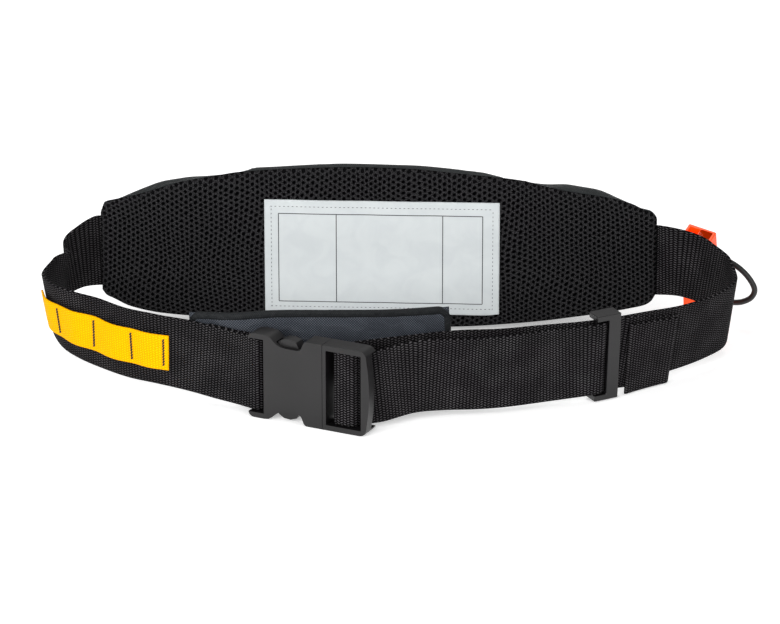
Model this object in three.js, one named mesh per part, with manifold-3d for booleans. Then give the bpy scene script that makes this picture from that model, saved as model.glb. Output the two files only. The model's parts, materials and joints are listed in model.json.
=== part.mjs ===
// Inflatable belt pack, standing on its lower edge with the belt closed in front of it.
// Millimetres, +Z up. The mesh panel stands in the plane y = 0, the pouch swells behind it
// towards +Y, and the belt loops forward towards -Y to the buckle.
// The exported group is moved so that its origin is the middle of the footprint, on the floor.
import * as THREE from "three";
import { mergeVertices } from "three/addons/utils/BufferGeometryUtils.js";
import Module from "manifold-3d";

const wasm = await Module();
wasm.setup();

// Fits
const GAP = 0.3; // clearance between two pieces that touch

// Webbing of the belt
const WEBBING_WIDTH = 50;
const WEBBING_THICKNESS = 2;
const STRAP_TUCK = 18; // length sewn in between panel and cover

// Mesh panel
const PANEL_LENGTH = 377;
const PANEL_HEIGHT = 115;
const PANEL_LIFT = 3; // height of its lowest point above the floor
const PANEL_EDGE = 3; // thickness at the seam
const PANEL_CROWN = 6; // extra thickness of the padding in the middle

// Pouch cover
const POUCH_DEPTH = 62;
const COVER_WALL = 2;

// Belt loop, seen from above
const LOOP_SPREAD = 46.5; // how far the belt bows out past each end of the pouch
const LOOP_HALF_WIDTH = PANEL_LENGTH / 2 + LOOP_SPREAD;
const LOOP_DEPTH = 190;

// Side-release buckle
const BUCKLE_LENGTH = 88;
const BUCKLE_THICKNESS = 14;
const BUCKLE_RAIL = 3.5; // width of the rails above and below the webbing
const WEBBING_PLAY = 0.5; // room between the webbing's edges and the rails
const BUCKLE_YAW = THREE.MathUtils.degToRad(-26.5);
const SOCKET_LENGTH = 54;
const SOCKET_WALL = 2.6;
const BAR_THICKNESS = 4.4;
const SOCKET_BAR = 6;
const SOCKET_SLOT = 5.5;
const PLUG_BAR = 13; // the bar that the webbing turns round
const PLUG_SHOULDER = 2.5;
const PLUG_END_BAR = 6;
const RELEASE_CUT = 7; // depth of the finger cuts in the socket

// Slide on the tail of the right strap
const SLIDE_BAR = 9;
const SLIDE_BACK_BAR = 4;
const SLIDE_SLOT = 5;
const SLIDE_BAR_THICKNESS = 2.6;
const SLIDE_RAIL = 4;
const STRAP_BOW = 1.1; // how far the main strap bows away from the slide's back
const TAIL_RUN = 48; // from the slide's bar to the fold at the end of the tail
const TAIL_FOLD = 37; // length folded back

// Pad behind the buckle
const PAD_HEIGHT = 55;
const PAD_THICKNESS = 4;

// Label
const LABEL_LENGTH = 159;
const LABEL_HEIGHT = 81;
const LABEL_THICKNESS = 1;
const LABEL_FALL = 0.018; // fall of the label towards its right end, per length
const LABEL_GAP = 0.5; // the faceted panel lies a little under its true curve

// Yellow strip
const STRIP_WIDTH = 25;
const STRIP_THICKNESS = 1.4;
const STRIP_BULGE = 1.6;

// Whistle
const WHISTLE_LENGTH = 58;
const WHISTLE_WIDTH = 20; // at its mouth
const WHISTLE_THICKNESS = 12;
const WHISTLE_WALL = 1.8;
const WHISTLE_CHAMBER = 22; // depth of its two openings
const WHISTLE_RISE = -3; // its mouth's height over the strap's top edge, negative when below
const MOUTH_SLANT = { back: 0.3, side: 0.15 }; // rise of the mouth towards the back, fall towards the bend
const KEEPER_HEIGHT = 14;
const KEEPER_WALL = 1.5;

// Rubber loop
const LOOP_CORD = 4;

const UP = new THREE.Vector3(0, 0, 1);

// Sections of the pouch along the panel. along: share of PANEL_LENGTH from the left end.
// top and bottom: share of PANEL_HEIGHT. depth: share of POUCH_DEPTH.
// puff: how far the cover swells above the panel's seam, share of POUCH_DEPTH.
// sag: how far it hangs below the seam before the floor flattens it, share of POUCH_DEPTH.
const POUCH_SECTIONS = [
  { along: 0.0, top: 0.72, bottom: 0.24, depth: 0.15, puff: 0.0, sag: 0.0 },
  { along: 0.008, top: 0.775, bottom: 0.205, depth: 0.24, puff: 0.01, sag: 0.0 },
  { along: 0.02, top: 0.797, bottom: 0.185, depth: 0.34, puff: 0.01, sag: 0.0 },
  { along: 0.05, top: 0.817, bottom: 0.135, depth: 0.52, puff: 0.03, sag: 0.02 },
  { along: 0.1, top: 0.864, bottom: 0.095, depth: 0.7, puff: 0.05, sag: 0.05 },
  { along: 0.15, top: 0.913, bottom: 0.077, depth: 0.8, puff: 0.01, sag: 0.08 },
  { along: 0.2, top: 0.942, bottom: 0.065, depth: 0.87, puff: -0.05, sag: 0.1 },
  { along: 0.25, top: 0.97, bottom: 0.052, depth: 0.93, puff: -0.13, sag: 0.12 },
  { along: 0.35, top: 0.991, bottom: 0.03, depth: 0.98, puff: -0.19, sag: 0.12 },
  { along: 0.45, top: 1.0, bottom: 0.009, depth: 1.0, puff: -0.2, sag: 0.12 },
  { along: 0.55, top: 0.99, bottom: 0.0, depth: 1.0, puff: -0.2, sag: 0.12 },
  { along: 0.65, top: 0.957, bottom: 0.005, depth: 0.98, puff: -0.17, sag: 0.12 },
  { along: 0.75, top: 0.92, bottom: 0.026, depth: 0.94, puff: -0.08, sag: 0.12 },
  { along: 0.8, top: 0.878, bottom: 0.042, depth: 0.9, puff: -0.01, sag: 0.1 },
  { along: 0.85, top: 0.843, bottom: 0.064, depth: 0.83, puff: 0.05, sag: 0.08 },
  { along: 0.9, top: 0.818, bottom: 0.087, depth: 0.72, puff: 0.03, sag: 0.05 },
  { along: 0.95, top: 0.778, bottom: 0.117, depth: 0.52, puff: -0.01, sag: 0.02 },
  { along: 0.98, top: 0.73, bottom: 0.14, depth: 0.34, puff: 0.0, sag: 0.0 },
  { along: 0.992, top: 0.715, bottom: 0.165, depth: 0.24, puff: 0.0, sag: 0.0 },
  { along: 1.0, top: 0.68, bottom: 0.21, depth: 0.15, puff: 0.0, sag: 0.0 },
];

// Route of a strap's lower edge. across: share of LOOP_HALF_WIDTH. forward: share of LOOP_DEPTH.
// hem: height of the edge, share of PANEL_HEIGHT. lean: degrees that the top leans outwards.
const LEFT_ROUTE = [
  { across: -0.859, forward: 0.006, hem: 0.28, lean: -15 },
  { across: -0.914, forward: 0.05, hem: 0.24, lean: -23 },
  { across: -0.94, forward: 0.14, hem: 0.184, lean: -6 },
  { across: -0.927, forward: 0.245, hem: 0.13, lean: 11 },
  { across: -0.896, forward: 0.337, hem: 0.1, lean: 11 },
  { across: -0.846, forward: 0.42, hem: 0.087, lean: 7 },
  { across: -0.78, forward: 0.5, hem: 0.078, lean: 3 },
  { across: -0.698, forward: 0.58, hem: 0.07, lean: 4 },
  { across: -0.611, forward: 0.644, hem: 0.07, lean: 4 },
  { across: -0.526, forward: 0.698, hem: 0.061, lean: 1 },
];
const RIGHT_ROUTE = [
  { across: 0.872, forward: 0.01, hem: 0.226, lean: -6 },
  { across: 0.936, forward: 0.05, hem: 0.2, lean: -8 },
  { across: 0.982, forward: 0.12, hem: 0.155, lean: -2 },
  { across: 0.996, forward: 0.21, hem: 0.108, lean: 5 },
  { across: 0.983, forward: 0.292, hem: 0.08, lean: 10 },
  { across: 0.927, forward: 0.375, hem: 0.065, lean: 13 },
  { across: 0.834, forward: 0.48, hem: 0.057, lean: 12 },
  { across: 0.734, forward: 0.568, hem: 0.054, lean: 8 },
  { across: 0.641, forward: 0.655, hem: 0.054, lean: 3.5 },
  { across: 0.557, forward: 0.697, hem: 0.052, lean: 2 },
  { across: 0.502, forward: 0.711, hem: 0.05, lean: 2 },
  { across: 0.426, forward: 0.734, hem: 0.05, lean: 2 },
  { across: 0.336, forward: 0.763, hem: 0.05, lean: 2 },
  { across: 0.209, forward: 0.779, hem: 0.05, lean: 2 },
  { across: 0.06, forward: 0.832, hem: 0.045, lean: 1 },
];
// The outer layer between the plug and the slide, from right to left on the plan above.
const OUTER_ROUTE = [
  { across: 0.101, forward: 0.897, hem: 0.057, lean: 1 },
  { across: 0.184, forward: 0.865, hem: 0.052, lean: 3 },
  { across: 0.267, forward: 0.847, hem: 0.045, lean: 3 },
  { across: 0.35, forward: 0.823, hem: 0.043, lean: 2 },
  { across: 0.476, forward: 0.766, hem: 0.043, lean: 1 },
];
// The lower edge of the pad behind the buckle, in the same shares.
const PAD_ROUTE = [
  { across: -0.51, forward: 0.682, hem: 0.048, lean: 0 },
  { across: -0.465, forward: 0.705, hem: 0.055, lean: 0 },
  { across: -0.4, forward: 0.735, hem: 0.07, lean: 0 },
  { across: -0.28, forward: 0.742, hem: 0.09, lean: 0 },
  { across: -0.13, forward: 0.748, hem: 0.095, lean: 0 },
  { across: 0.04, forward: 0.742, hem: 0.095, lean: 0 },
  { across: 0.15, forward: 0.726, hem: 0.1, lean: 0 },
  { across: 0.205, forward: 0.715, hem: 0.105, lean: 0 },
];

// Where the strip is tacked to the left strap, counted in stations from the pouch
const STRIP_TACKS = [5.95, 7.28, 8.85, 10.22, 11.36];
// Where things sit on the right strap, as shares of its main run
const WHISTLE_PLACE = 0.217;
const SLIDE_PLACE = 0.648;

// Route of the rubber loop, x measured from the pouch's right end: out, round, and back to it.
const LOOP_CORD_ROUTE = [
  [1.1, 5.6, 57],
  [5.5, 6.2, 57],
  [15, 12, 56.5],
  [24, 16.5, 55],
  [34, 16, 52.5],
  [46, 12, 48.5],
  [57, 8, 43],
  [64.5, 6, 35.5],
  [68, 5, 28],
  [66, 5.5, 22.5],
  [59.5, 7, 18.6],
  [50, 12, 16.8],
  [38, 18, 16.5],
  [26, 21, 19],
  [16, 19.5, 23],
  [10, 14, 27],
  [5.7, 7.6, 30.2],
  [1.1, 5.4, 31],
];

// Materials
const finish = (color, roughness, metalness = 0) =>
  new THREE.MeshStandardMaterial({ color, roughness, metalness });
const webbingFinish = finish(0x1b1a1c, 0.85);
const meshFinish = finish(0x161517, 0.95);
const nylonFinish = finish(0x3a4144, 0.6);
const labelFinish = finish(0xe4eaec, 0.7);
const yellowFinish = finish(0xf4c90c, 0.75);
const plasticFinish = finish(0x3b393b, 0.5);
const orangeFinish = finish(0xff5a14, 0.4);
const rubberFinish = finish(0x141415, 0.55);

// Turns a geometry's faces outwards, so that its volume is positive.
function facingOut(geometry) {
  const position = geometry.getAttribute("position");
  const index = geometry.index.array;
  const corner = [new THREE.Vector3(), new THREE.Vector3(), new THREE.Vector3()];
  let volume = 0;
  for (let i = 0; i < index.length; i += 3) {
    corner.forEach((c, k) => c.fromBufferAttribute(position, index[i + k]));
    volume += corner[0].dot(corner[1].clone().cross(corner[2]));
  }
  if (volume < 0)
    for (let i = 0; i < index.length; i += 3)
      [index[i + 1], index[i + 2]] = [index[i + 2], index[i + 1]];
  return geometry;
}

// Joins closed rings of equal length into one body, with a fan over the first and last ring.
// A sheet's ring has a front and a back side of equal length, and its ends are closed across.
function loft(rings, sheet = false) {
  const size = rings[0].length;
  const points = rings.flat();
  const faces = [];
  for (let r = 0; r + 1 < rings.length; r++)
    for (let k = 0; k < size; k++) {
      const here = r * size + k;
      const next = r * size + ((k + 1) % size);
      faces.push(here, next, next + size, here, next + size, here + size);
    }
  for (const last of [false, true]) {
    const ring = last ? rings.length - 1 : 0;
    if (sheet) {
      for (let k = 0; k + 1 < size / 2; k++) {
        const [a, b, c, d] = [k, k + 1, size - 2 - k, size - 1 - k].map((i) => ring * size + i);
        faces.push(...(last ? [a, b, c, a, c, d] : [b, a, c, c, a, d]));
      }
      continue;
    }
    const middle = new THREE.Vector3();
    rings[ring].forEach((p) => middle.addScaledVector(p, 1 / size));
    const hub = points.push(middle) - 1;
    for (let k = 0; k < size; k++) {
      const a = ring * size + k;
      const b = ring * size + ((k + 1) % size);
      faces.push(...(last ? [a, b, hub] : [b, a, hub]));
    }
  }
  const geometry = new THREE.BufferGeometry().setFromPoints(points);
  geometry.setIndex(faces);
  return facingOut(geometry);
}

// A closed geometry as a solid that can be joined and cut.
function solid(geometry) {
  const bare = geometry.clone();
  bare.deleteAttribute("normal");
  bare.deleteAttribute("uv");
  const merged = facingOut(mergeVertices(bare, 1e-4));
  return new wasm.Manifold(
    new wasm.Mesh({
      numProp: 3,
      vertProperties: new Float32Array(merged.getAttribute("position").array),
      triVerts: new Uint32Array(merged.index.array),
    }),
  );
}

function geometryOf(body) {
  const made = body.getMesh();
  const geometry = new THREE.BufferGeometry();
  geometry.setAttribute("position", new THREE.BufferAttribute(made.vertProperties, 3));
  geometry.setIndex(new THREE.BufferAttribute(made.triVerts, 1));
  return geometry;
}

function named(name, geometry, material) {
  const flat = geometry.index ? geometry.toNonIndexed() : geometry;
  flat.computeVertexNormals();
  const mesh = new THREE.Mesh(flat, material);
  mesh.name = name;
  return mesh;
}

function block(x0, x1, y0, y1, z0, z1) {
  const box = new THREE.BoxGeometry(x1 - x0, y1 - y0, z1 - z0);
  return solid(box.translate((x0 + x1) / 2, (y0 + y1) / 2, (z0 + z1) / 2));
}

// An outline in x and z, made into a plate whose thickness is centred on y = 0.
function plate(outline, thickness, curveSegments = 6) {
  const body = new THREE.ExtrudeGeometry(outline, { depth: thickness, bevelEnabled: false, curveSegments });
  return solid(body.rotateX(Math.PI / 2).translate(0, thickness / 2, 0));
}

function mix(a, b, t) {
  return a + (b - a) * t;
}

// The pouch's section at a share of its length, from the table by straight lines.
function pouchSection(along) {
  const next = Math.max(1, POUCH_SECTIONS.findIndex((s) => s.along >= along));
  const a = POUCH_SECTIONS[next - 1];
  const b = POUCH_SECTIONS[next];
  const t = (along - a.along) / (b.along - a.along);
  return {
    top: PANEL_LIFT + PANEL_HEIGHT * mix(a.top, b.top, t),
    bottom: PANEL_LIFT + PANEL_HEIGHT * mix(a.bottom, b.bottom, t),
    depth: POUCH_DEPTH * mix(a.depth, b.depth, t),
    puff: POUCH_DEPTH * mix(a.puff, b.puff, t),
    sag: POUCH_DEPTH * mix(a.sag, b.sag, t),
  };
}

const alongToX = (along) => (along - 0.5) * PANEL_LENGTH;
const xToAlong = (x) => x / PANEL_LENGTH + 0.5;

// Shares of the length at which the pouch and panel have a section
const STATIONS = [];
for (let i = 0; i + 1 < POUCH_SECTIONS.length; i++) {
  const a = POUCH_SECTIONS[i].along;
  const b = POUCH_SECTIONS[i + 1].along;
  const parts = b - a > 0.06 ? 2 : 1;
  for (let k = 0; k < parts; k++) STATIONS.push(mix(a, b, k / parts));
}
STATIONS.push(1);

// One ring of the cover, from the seam's lower edge round the back to its upper edge.
// It is a superellipse: the upper half swells by puff, the lower half hangs by sag and is
// flattened by the floor. inset moves the ring inwards by the wall.
function coverRing(along, inset) {
  const s = pouchSection(along);
  const middle = (s.top + s.bottom) / 2;
  const half = (s.top - s.bottom) / 2 - inset;
  const depth = Math.max(s.depth - inset, 1);
  const squareness = 2.6;
  const steps = 22;
  const ring = [];
  for (let i = 0; i <= steps; i++) {
    const turn = mix(-Math.PI / 2, Math.PI / 2, i / steps);
    const back = Math.abs(Math.cos(turn)) ** (2 / squareness);
    const rise = Math.abs(Math.sin(turn)) ** (2 / squareness) * Math.sign(turn);
    const swell = Math.sin(Math.PI * Math.min(1, back * 1.25));
    const bulge = rise > 0 ? s.puff * swell * rise : s.sag * Math.min(1, 2.5 * back) * rise;
    const z = Math.max(middle + half * rise + bulge, inset);
    ring.push(new THREE.Vector3(alongToX(along), i % steps ? depth * back : 0, z));
  }
  return ring;
}

// How much thicker the padding is at a place on the panel, seen from the front.
function crown(along, height) {
  const s = pouchSection(along);
  const up = (height - s.bottom) / (s.top - s.bottom);
  const ends = 1 - Math.abs(2 * along - 1) ** 6;
  const edges = 1 - Math.abs(2 * up - 1) ** 3.5;
  return PANEL_CROWN * Math.max(0, ends) * Math.max(0, edges);
}

function makeCover() {
  const outer = STATIONS.map((along) => coverRing(along, 0));
  const ends = COVER_WALL / PANEL_LENGTH;
  const inner = STATIONS.map((along) =>
    coverRing(THREE.MathUtils.clamp(along, ends, 1 - ends), COVER_WALL),
  ).filter((ring, i, all) => i === 0 || ring[0].x > all[i - 1][0].x + 0.1);
  for (const ring of inner) {
    ring[0].y = -GAP;
    ring[ring.length - 1].y = -GAP;
  }
  let shell = solid(loft(outer)).subtract(solid(loft(inner)));
  for (const side of [-1, 1]) {
    const hem = side < 0 ? leftTuck.hem : rightTuck.hem;
    const end = (side * PANEL_LENGTH) / 2;
    const from = Math.min(end + side, end - side * 2 * STRAP_TUCK);
    const to = Math.max(end + side, end - side * 2 * STRAP_TUCK);
    const room = WEBBING_THICKNESS + 2 * GAP;
    shell = shell.subtract(block(from, to, -1, room, hem - GAP, hem + WEBBING_WIDTH + GAP));
  }
  return named("pouch_cover", geometryOf(shell), nylonFinish);
}

function makePanel() {
  const rows = 10;
  const rings = STATIONS.map((along) => {
    const s = pouchSection(along);
    const x = alongToX(along);
    const ring = [new THREE.Vector3(x, -GAP, s.top), new THREE.Vector3(x, -GAP, s.bottom)];
    for (let i = 0; i <= rows; i++) {
      const z = mix(s.bottom, s.top, i / rows);
      ring.push(new THREE.Vector3(x, -GAP - PANEL_EDGE - crown(along, z), z));
    }
    return ring;
  });
  return named("mesh_back_panel", loft(rings), meshFinish);
}

// The label follows the crowned panel, a little turned as it was sewn on.
function makeLabel() {
  const left = -0.4865 * LABEL_LENGTH;
  const low = PANEL_LIFT + 0.122 * PANEL_HEIGHT;
  const columns = 12;
  const rows = 8;
  const skin = (x, z) => -GAP - PANEL_EDGE - crown(xToAlong(x), z) - LABEL_GAP;
  const rings = [];
  for (let i = 0; i <= columns; i++) {
    const x = left + (LABEL_LENGTH * i) / columns;
    const front = [];
    const back = [];
    for (let k = 0; k <= rows; k++) {
      const z = low + (LABEL_HEIGHT * k) / rows - LABEL_FALL * (x - left);
      front.push(new THREE.Vector3(x, skin(x, z) - LABEL_THICKNESS, z));
      back.unshift(new THREE.Vector3(x, skin(x, z), z));
    }
    rings.push([...front, ...back]);
  }
  return named("care_label", loft(rings, true), labelFinish);
}

// Stations of a strap from a table of shares.
function stationsOf(route) {
  return route.map((row) => ({
    point: new THREE.Vector3(
      row.across * LOOP_HALF_WIDTH,
      -row.forward * LOOP_DEPTH,
      row.hem * PANEL_HEIGHT,
    ),
    lean: row.lean,
  }));
}

// A smooth curve through evenly spaced values that never overshoots them.
function easedAt(values, place) {
  const last = values.length - 1;
  const slope = (k) => {
    if (k === 0 || k === last) return values[Math.max(k, 1)] - values[Math.max(k, 1) - 1];
    const before = values[k] - values[k - 1];
    const after = values[k + 1] - values[k];
    return before * after > 0 ? (2 * before * after) / (before + after) : 0;
  };
  const k = Math.min(Math.floor(place), last - 1);
  const t = place - k;
  const ease = t * t * (3 - 2 * t);
  const [start, end] = [t * (1 - t) ** 2 * slope(k), t * t * (t - 1) * slope(k + 1)];
  return mix(values[k], values[k + 1], ease) + start + end;
}

// A strap as frames along the curve through its stations. Each frame has the point on the
// lower edge, the direction along, the direction up across the width, and the outward normal.
function strapFrames(stations, side, steps = 4) {
  const hem = new THREE.CatmullRomCurve3(stations.map((s) => s.point), false, "centripetal");
  const leans = stations.map((s) => s.lean);
  const spans = stations.length - 1;
  const frameAt = (share) => {
    const lean = THREE.MathUtils.degToRad(easedAt(leans, share * spans));
    const point = hem.getPoint(share);
    const along = hem.getTangent(share);
    const level = UP.clone().addScaledVector(along, -UP.dot(along)).normalize();
    const away = along.clone().cross(level).multiplyScalar(side);
    const up = level.clone().multiplyScalar(Math.cos(lean)).addScaledVector(away, Math.sin(lean));
    const out = away.multiplyScalar(Math.cos(lean)).addScaledVector(level, -Math.sin(lean));
    return { point, along, up, out };
  };
  const count = spans * steps;
  const frames = Array.from({ length: count + 1 }, (_, i) => frameAt(i / count));
  return { frames, frameAt, spans };
}

// A flat band through frames: lift is measured up the frame, offset outwards from its middle.
function band(frames, width, thickness, lift = 0, offset = () => 0) {
  const rings = frames.map((f, i) => {
    const at = (up, out) =>
      f.point.clone().addScaledVector(f.up, lift + up).addScaledVector(f.out, offset(i) + out);
    const half = thickness / 2;
    return [at(0, half), at(width, half), at(width, -half), at(0, -half)];
  });
  return loft(rings);
}

// The place of a strap's first stations, sewn in at an end of the panel.
function tuck(side, hem) {
  const end = (side * PANEL_LENGTH) / 2;
  const y = GAP + WEBBING_THICKNESS / 2;
  return {
    hem,
    stations: [end - side * STRAP_TUCK, end - (side * STRAP_TUCK) / 2, end + side].map((x) => ({
      point: new THREE.Vector3(x, y, hem),
      lean: 0,
    })),
  };
}
const leftTuck = tuck(-1, 0.287 * PANEL_HEIGHT);
const rightTuck = tuck(1, 0.226 * PANEL_HEIGHT);

// Buckle frame: x along the belt from the socket's bar, y towards the wearer, z up.
const BUCKLE_HEIGHT = WEBBING_WIDTH + 2 * (BUCKLE_RAIL + WEBBING_PLAY);
const buckleFrame = new THREE.Group();
buckleFrame.position.set(-0.347 * LOOP_HALF_WIDTH, -0.806 * LOOP_DEPTH, 0);
buckleFrame.rotation.z = BUCKLE_YAW;
buckleFrame.updateMatrixWorld(true);
const onBuckle = (x, out, z) => buckleFrame.localToWorld(new THREE.Vector3(x, -out, z));

// Points of a half turn of webbing round a bar's rounded edge, in the buckle's frame.
function turnRound(x, side, start, end, radius, count = 6) {
  return Array.from({ length: count + 1 }, (_, i) => {
    const angle = mix(start, end, i / count);
    return [x + side * radius * Math.cos(angle), radius * Math.sin(angle)];
  });
}

const BAR_TURN = BAR_THICKNESS / 2 + GAP + WEBBING_THICKNESS / 2;
const LAYER = WEBBING_THICKNESS / 2 + GAP / 2 + 0.2; // half the distance between two layers
const HEM_ON_BUCKLE = BUCKLE_RAIL + WEBBING_PLAY;

// Stations of the left strap at the buckle: over the socket's bar, round it and back.
function socketStations() {
  const roundEdge = SOCKET_BAR - BAR_THICKNESS / 2;
  const local = [
    [-26, LAYER, 1.5],
    [-13, LAYER + 0.1, 0.6],
    [-5, BAR_TURN - 1.2, 0.2],
    ...turnRound(roundEdge, 1, Math.PI / 2, -Math.PI / 2, BAR_TURN).map(([x, out]) => [x, out, 0]),
    [-5, 1.2 - BAR_TURN, 0.2],
    [-13, -LAYER - 0.1, 0.6],
    [-26, -LAYER, 1.5],
    [-35, -LAYER - 0.2, 2],
  ];
  return local.map(([x, out, rise]) => ({ point: onBuckle(x, out, HEM_ON_BUCKLE + rise), lean: 0 }));
}
const leftRun = strapFrames(
  [...leftTuck.stations, ...stationsOf(LEFT_ROUTE), ...socketStations()], 1, 5,
);

function makeLeftStrap() {
  return named("strap_left", band(leftRun.frames, WEBBING_WIDTH, WEBBING_THICKNESS), webbingFinish);
}

// The yellow strip lies on the outer face of the left strap and stands off it between tacks.
function makeStrip() {
  const rest = WEBBING_THICKNESS / 2 + 3 * GAP + STRIP_THICKNESS / 2;
  const placeOf = (i) => (i * leftRun.spans) / (leftRun.frames.length - 1);
  const isOn = (f, i) => placeOf(i) >= STRIP_TACKS[0] && placeOf(i) <= STRIP_TACKS.at(-1);
  const first = leftRun.frames.findIndex(isOn);
  const bulge = (i) => {
    const place = placeOf(first + i);
    const next = Math.max(1, STRIP_TACKS.findIndex((tack) => tack >= place));
    const share = (place - STRIP_TACKS[next - 1]) / (STRIP_TACKS[next] - STRIP_TACKS[next - 1]);
    return rest + STRIP_BULGE * Math.sin(Math.PI * share) ** 2;
  };
  const lift = (WEBBING_WIDTH - STRIP_WIDTH) / 2;
  const geometry = band(leftRun.frames.filter(isOn), STRIP_WIDTH, STRIP_THICKNESS, lift, bulge);
  return named("daisy_strip", geometry, yellowFinish);
}

// The right strap's main run, and the frame that lies a distance back from the slide along it,
// towards the bend.
const rightMain = strapFrames([...rightTuck.stations, ...stationsOf(RIGHT_ROUTE)], -1);
const MAIN_SAMPLES = 600;
const mainLengths = [0];
for (let i = 1; i <= MAIN_SAMPLES; i++) {
  const here = rightMain.frameAt(i / MAIN_SAMPLES).point;
  const before = rightMain.frameAt((i - 1) / MAIN_SAMPLES).point;
  mainLengths.push(mainLengths[i - 1] + here.distanceTo(before));
}
function mainAt(back) {
  const wanted = mainLengths[Math.round(SLIDE_PLACE * MAIN_SAMPLES)] - back;
  const i = Math.max(1, mainLengths.findIndex((length) => length >= wanted));
  const part = (wanted - mainLengths[i - 1]) / (mainLengths[i] - mainLengths[i - 1]);
  return rightMain.frameAt((i - 1 + part) / MAIN_SAMPLES);
}

// Levels in the slide, outwards from the middle of the main strap
const FIRST_LAYER = WEBBING_THICKNESS / 2 + GAP;
const SECOND_LAYER = FIRST_LAYER + WEBBING_THICKNESS + GAP;
const TAIL_UNDER = FIRST_LAYER + WEBBING_THICKNESS / 2;
const TAIL_OVER = FIRST_LAYER + SLIDE_BAR_THICKNESS + 2 * GAP + WEBBING_THICKNESS / 2 + 0.2;
const FOLD_OUT = SECOND_LAYER + WEBBING_THICKNESS / 2 + 0.1;
const SLOT_END = -SLIDE_BAR / 2 - SLIDE_SLOT; // the slot lies between the two front bars
const TAIL_DROP = 5; // how far the folded tail hangs below the main strap

// Stations of the tail: over the back bar, under the visible bar, on to the fold and back.
function tailStations() {
  const middle = (TAIL_UNDER + FOLD_OUT) / 2;
  const radius = (FOLD_OUT - TAIL_UNDER) / 2;
  const rows = [
    [SLOT_END - SLIDE_BACK_BAR - 5, TAIL_OVER - 0.5, 0, -1],
    [SLOT_END - SLIDE_BACK_BAR / 2, TAIL_OVER, 0, -1],
    [SLOT_END + 0.4, TAIL_OVER - 0.2, 0, -1],
    [SLOT_END + 0.42 * SLIDE_SLOT, (TAIL_OVER + TAIL_UNDER) / 2, 0, -1],
    [-SLIDE_BAR / 2 - 0.6, TAIL_UNDER, 0, -1],
    [0, TAIL_UNDER, 0, -1],
    [SLIDE_BAR / 2, TAIL_UNDER, 0.05, -1],
    [TAIL_RUN * 0.45, TAIL_UNDER, 0.5, -1],
    [TAIL_RUN * 0.8, TAIL_UNDER, 0.9, -1],
    [TAIL_RUN - radius, TAIL_UNDER, 1, -1],
    [TAIL_RUN, middle, 1, 0],
    [TAIL_RUN - radius, FOLD_OUT, 1, 1],
    [TAIL_RUN * 0.8, FOLD_OUT, 1, 1],
    [TAIL_RUN * 0.5, FOLD_OUT, 1.02, 1],
    [TAIL_RUN - TAIL_FOLD, FOLD_OUT, 1.04, 1],
  ];
  return rows.map(([back, out, drop, leanSign]) => {
    const inSlide = back <= SLIDE_BAR / 2;
    const frame = mainAt(inSlide ? 0 : back);
    const lean = Math.asin(THREE.MathUtils.clamp(frame.up.dot(levelOut(frame)), -1, 1));
    const point = frame.point.clone().addScaledVector(frame.out, out);
    point.addScaledVector(frame.up, -TAIL_DROP * drop);
    if (inSlide) point.addScaledVector(frame.along, -back);
    return { point, lean: leanSign * THREE.MathUtils.radToDeg(lean) };
  });
}

// The outward direction of a strap's frame before it leans.
function levelOut(frame) {
  const level = UP.clone().addScaledVector(frame.along, -UP.dot(frame.along)).normalize();
  return frame.along.clone().cross(level).multiplyScalar(-1);
}

const PLUG_START = SOCKET_LENGTH + GAP;
const PLUG_WINDOW = PLUG_START + PLUG_SHOULDER;
const END_BAR = BUCKLE_LENGTH - PLUG_END_BAR;
const PLUG_BAR_GAP = 5.2; // from the window's near end to the webbing's bar
const PLUG_BAR_START = PLUG_WINDOW + PLUG_BAR_GAP;
const BAR_EDGE = BAR_THICKNESS / 2;

function makeRightStrap() {
  const left = PLUG_BAR_START + BAR_EDGE;
  const right = PLUG_BAR_START + PLUG_BAR - BAR_EDGE;
  const inwards = [
    [left + 1.5, -17, 0.5],
    [left - 3.4, -11, 0.3],
    [left - 4, -5, 0.1],
  ];
  const outwards = [
    [right + BAR_TURN + 2.6, -4.5, 0],
    [END_BAR + 1, -8.6, 0],
    [END_BAR + 6.5, -13, 0.6],
  ];
  const turns = [
    ...turnRound(left, -1, 0, Math.PI / 2, BAR_TURN, 4),
    ...turnRound(right, 1, Math.PI / 2, 0, BAR_TURN, 4),
  ].map(([x, out]) => [x, out, 0]);
  const atPlug = [...inwards, ...turns, ...outwards].map(([x, out, rise]) => ({
    point: onBuckle(x, out, HEM_ON_BUCKLE + rise),
    lean: 0,
  }));
  const outer = stationsOf(OUTER_ROUTE).map((s) => ({ ...s, lean: -s.lean }));
  const main = [...rightTuck.stations, ...stationsOf(RIGHT_ROUTE)];
  const { frames } = strapFrames([...main, ...atPlug, ...outer, ...tailStations()], -1, 3);
  return named("strap_right", band(frames, WEBBING_WIDTH, WEBBING_THICKNESS), webbingFinish);
}

// A bar along z with round edges, between x0 and x1 and centred on y = 0.
function roundBar(x0, x1, z0, z1) {
  const outline = new THREE.Shape();
  outline.absarc(x1 - BAR_EDGE, 0, BAR_EDGE, -Math.PI / 2, Math.PI / 2);
  outline.absarc(x0 + BAR_EDGE, 0, BAR_EDGE, Math.PI / 2, (3 * Math.PI) / 2);
  outline.closePath();
  const settings = { depth: z1 - z0, bevelEnabled: false, curveSegments: 6 };
  return solid(new THREE.ExtrudeGeometry(outline, settings).translate(0, 0, z0));
}

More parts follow.
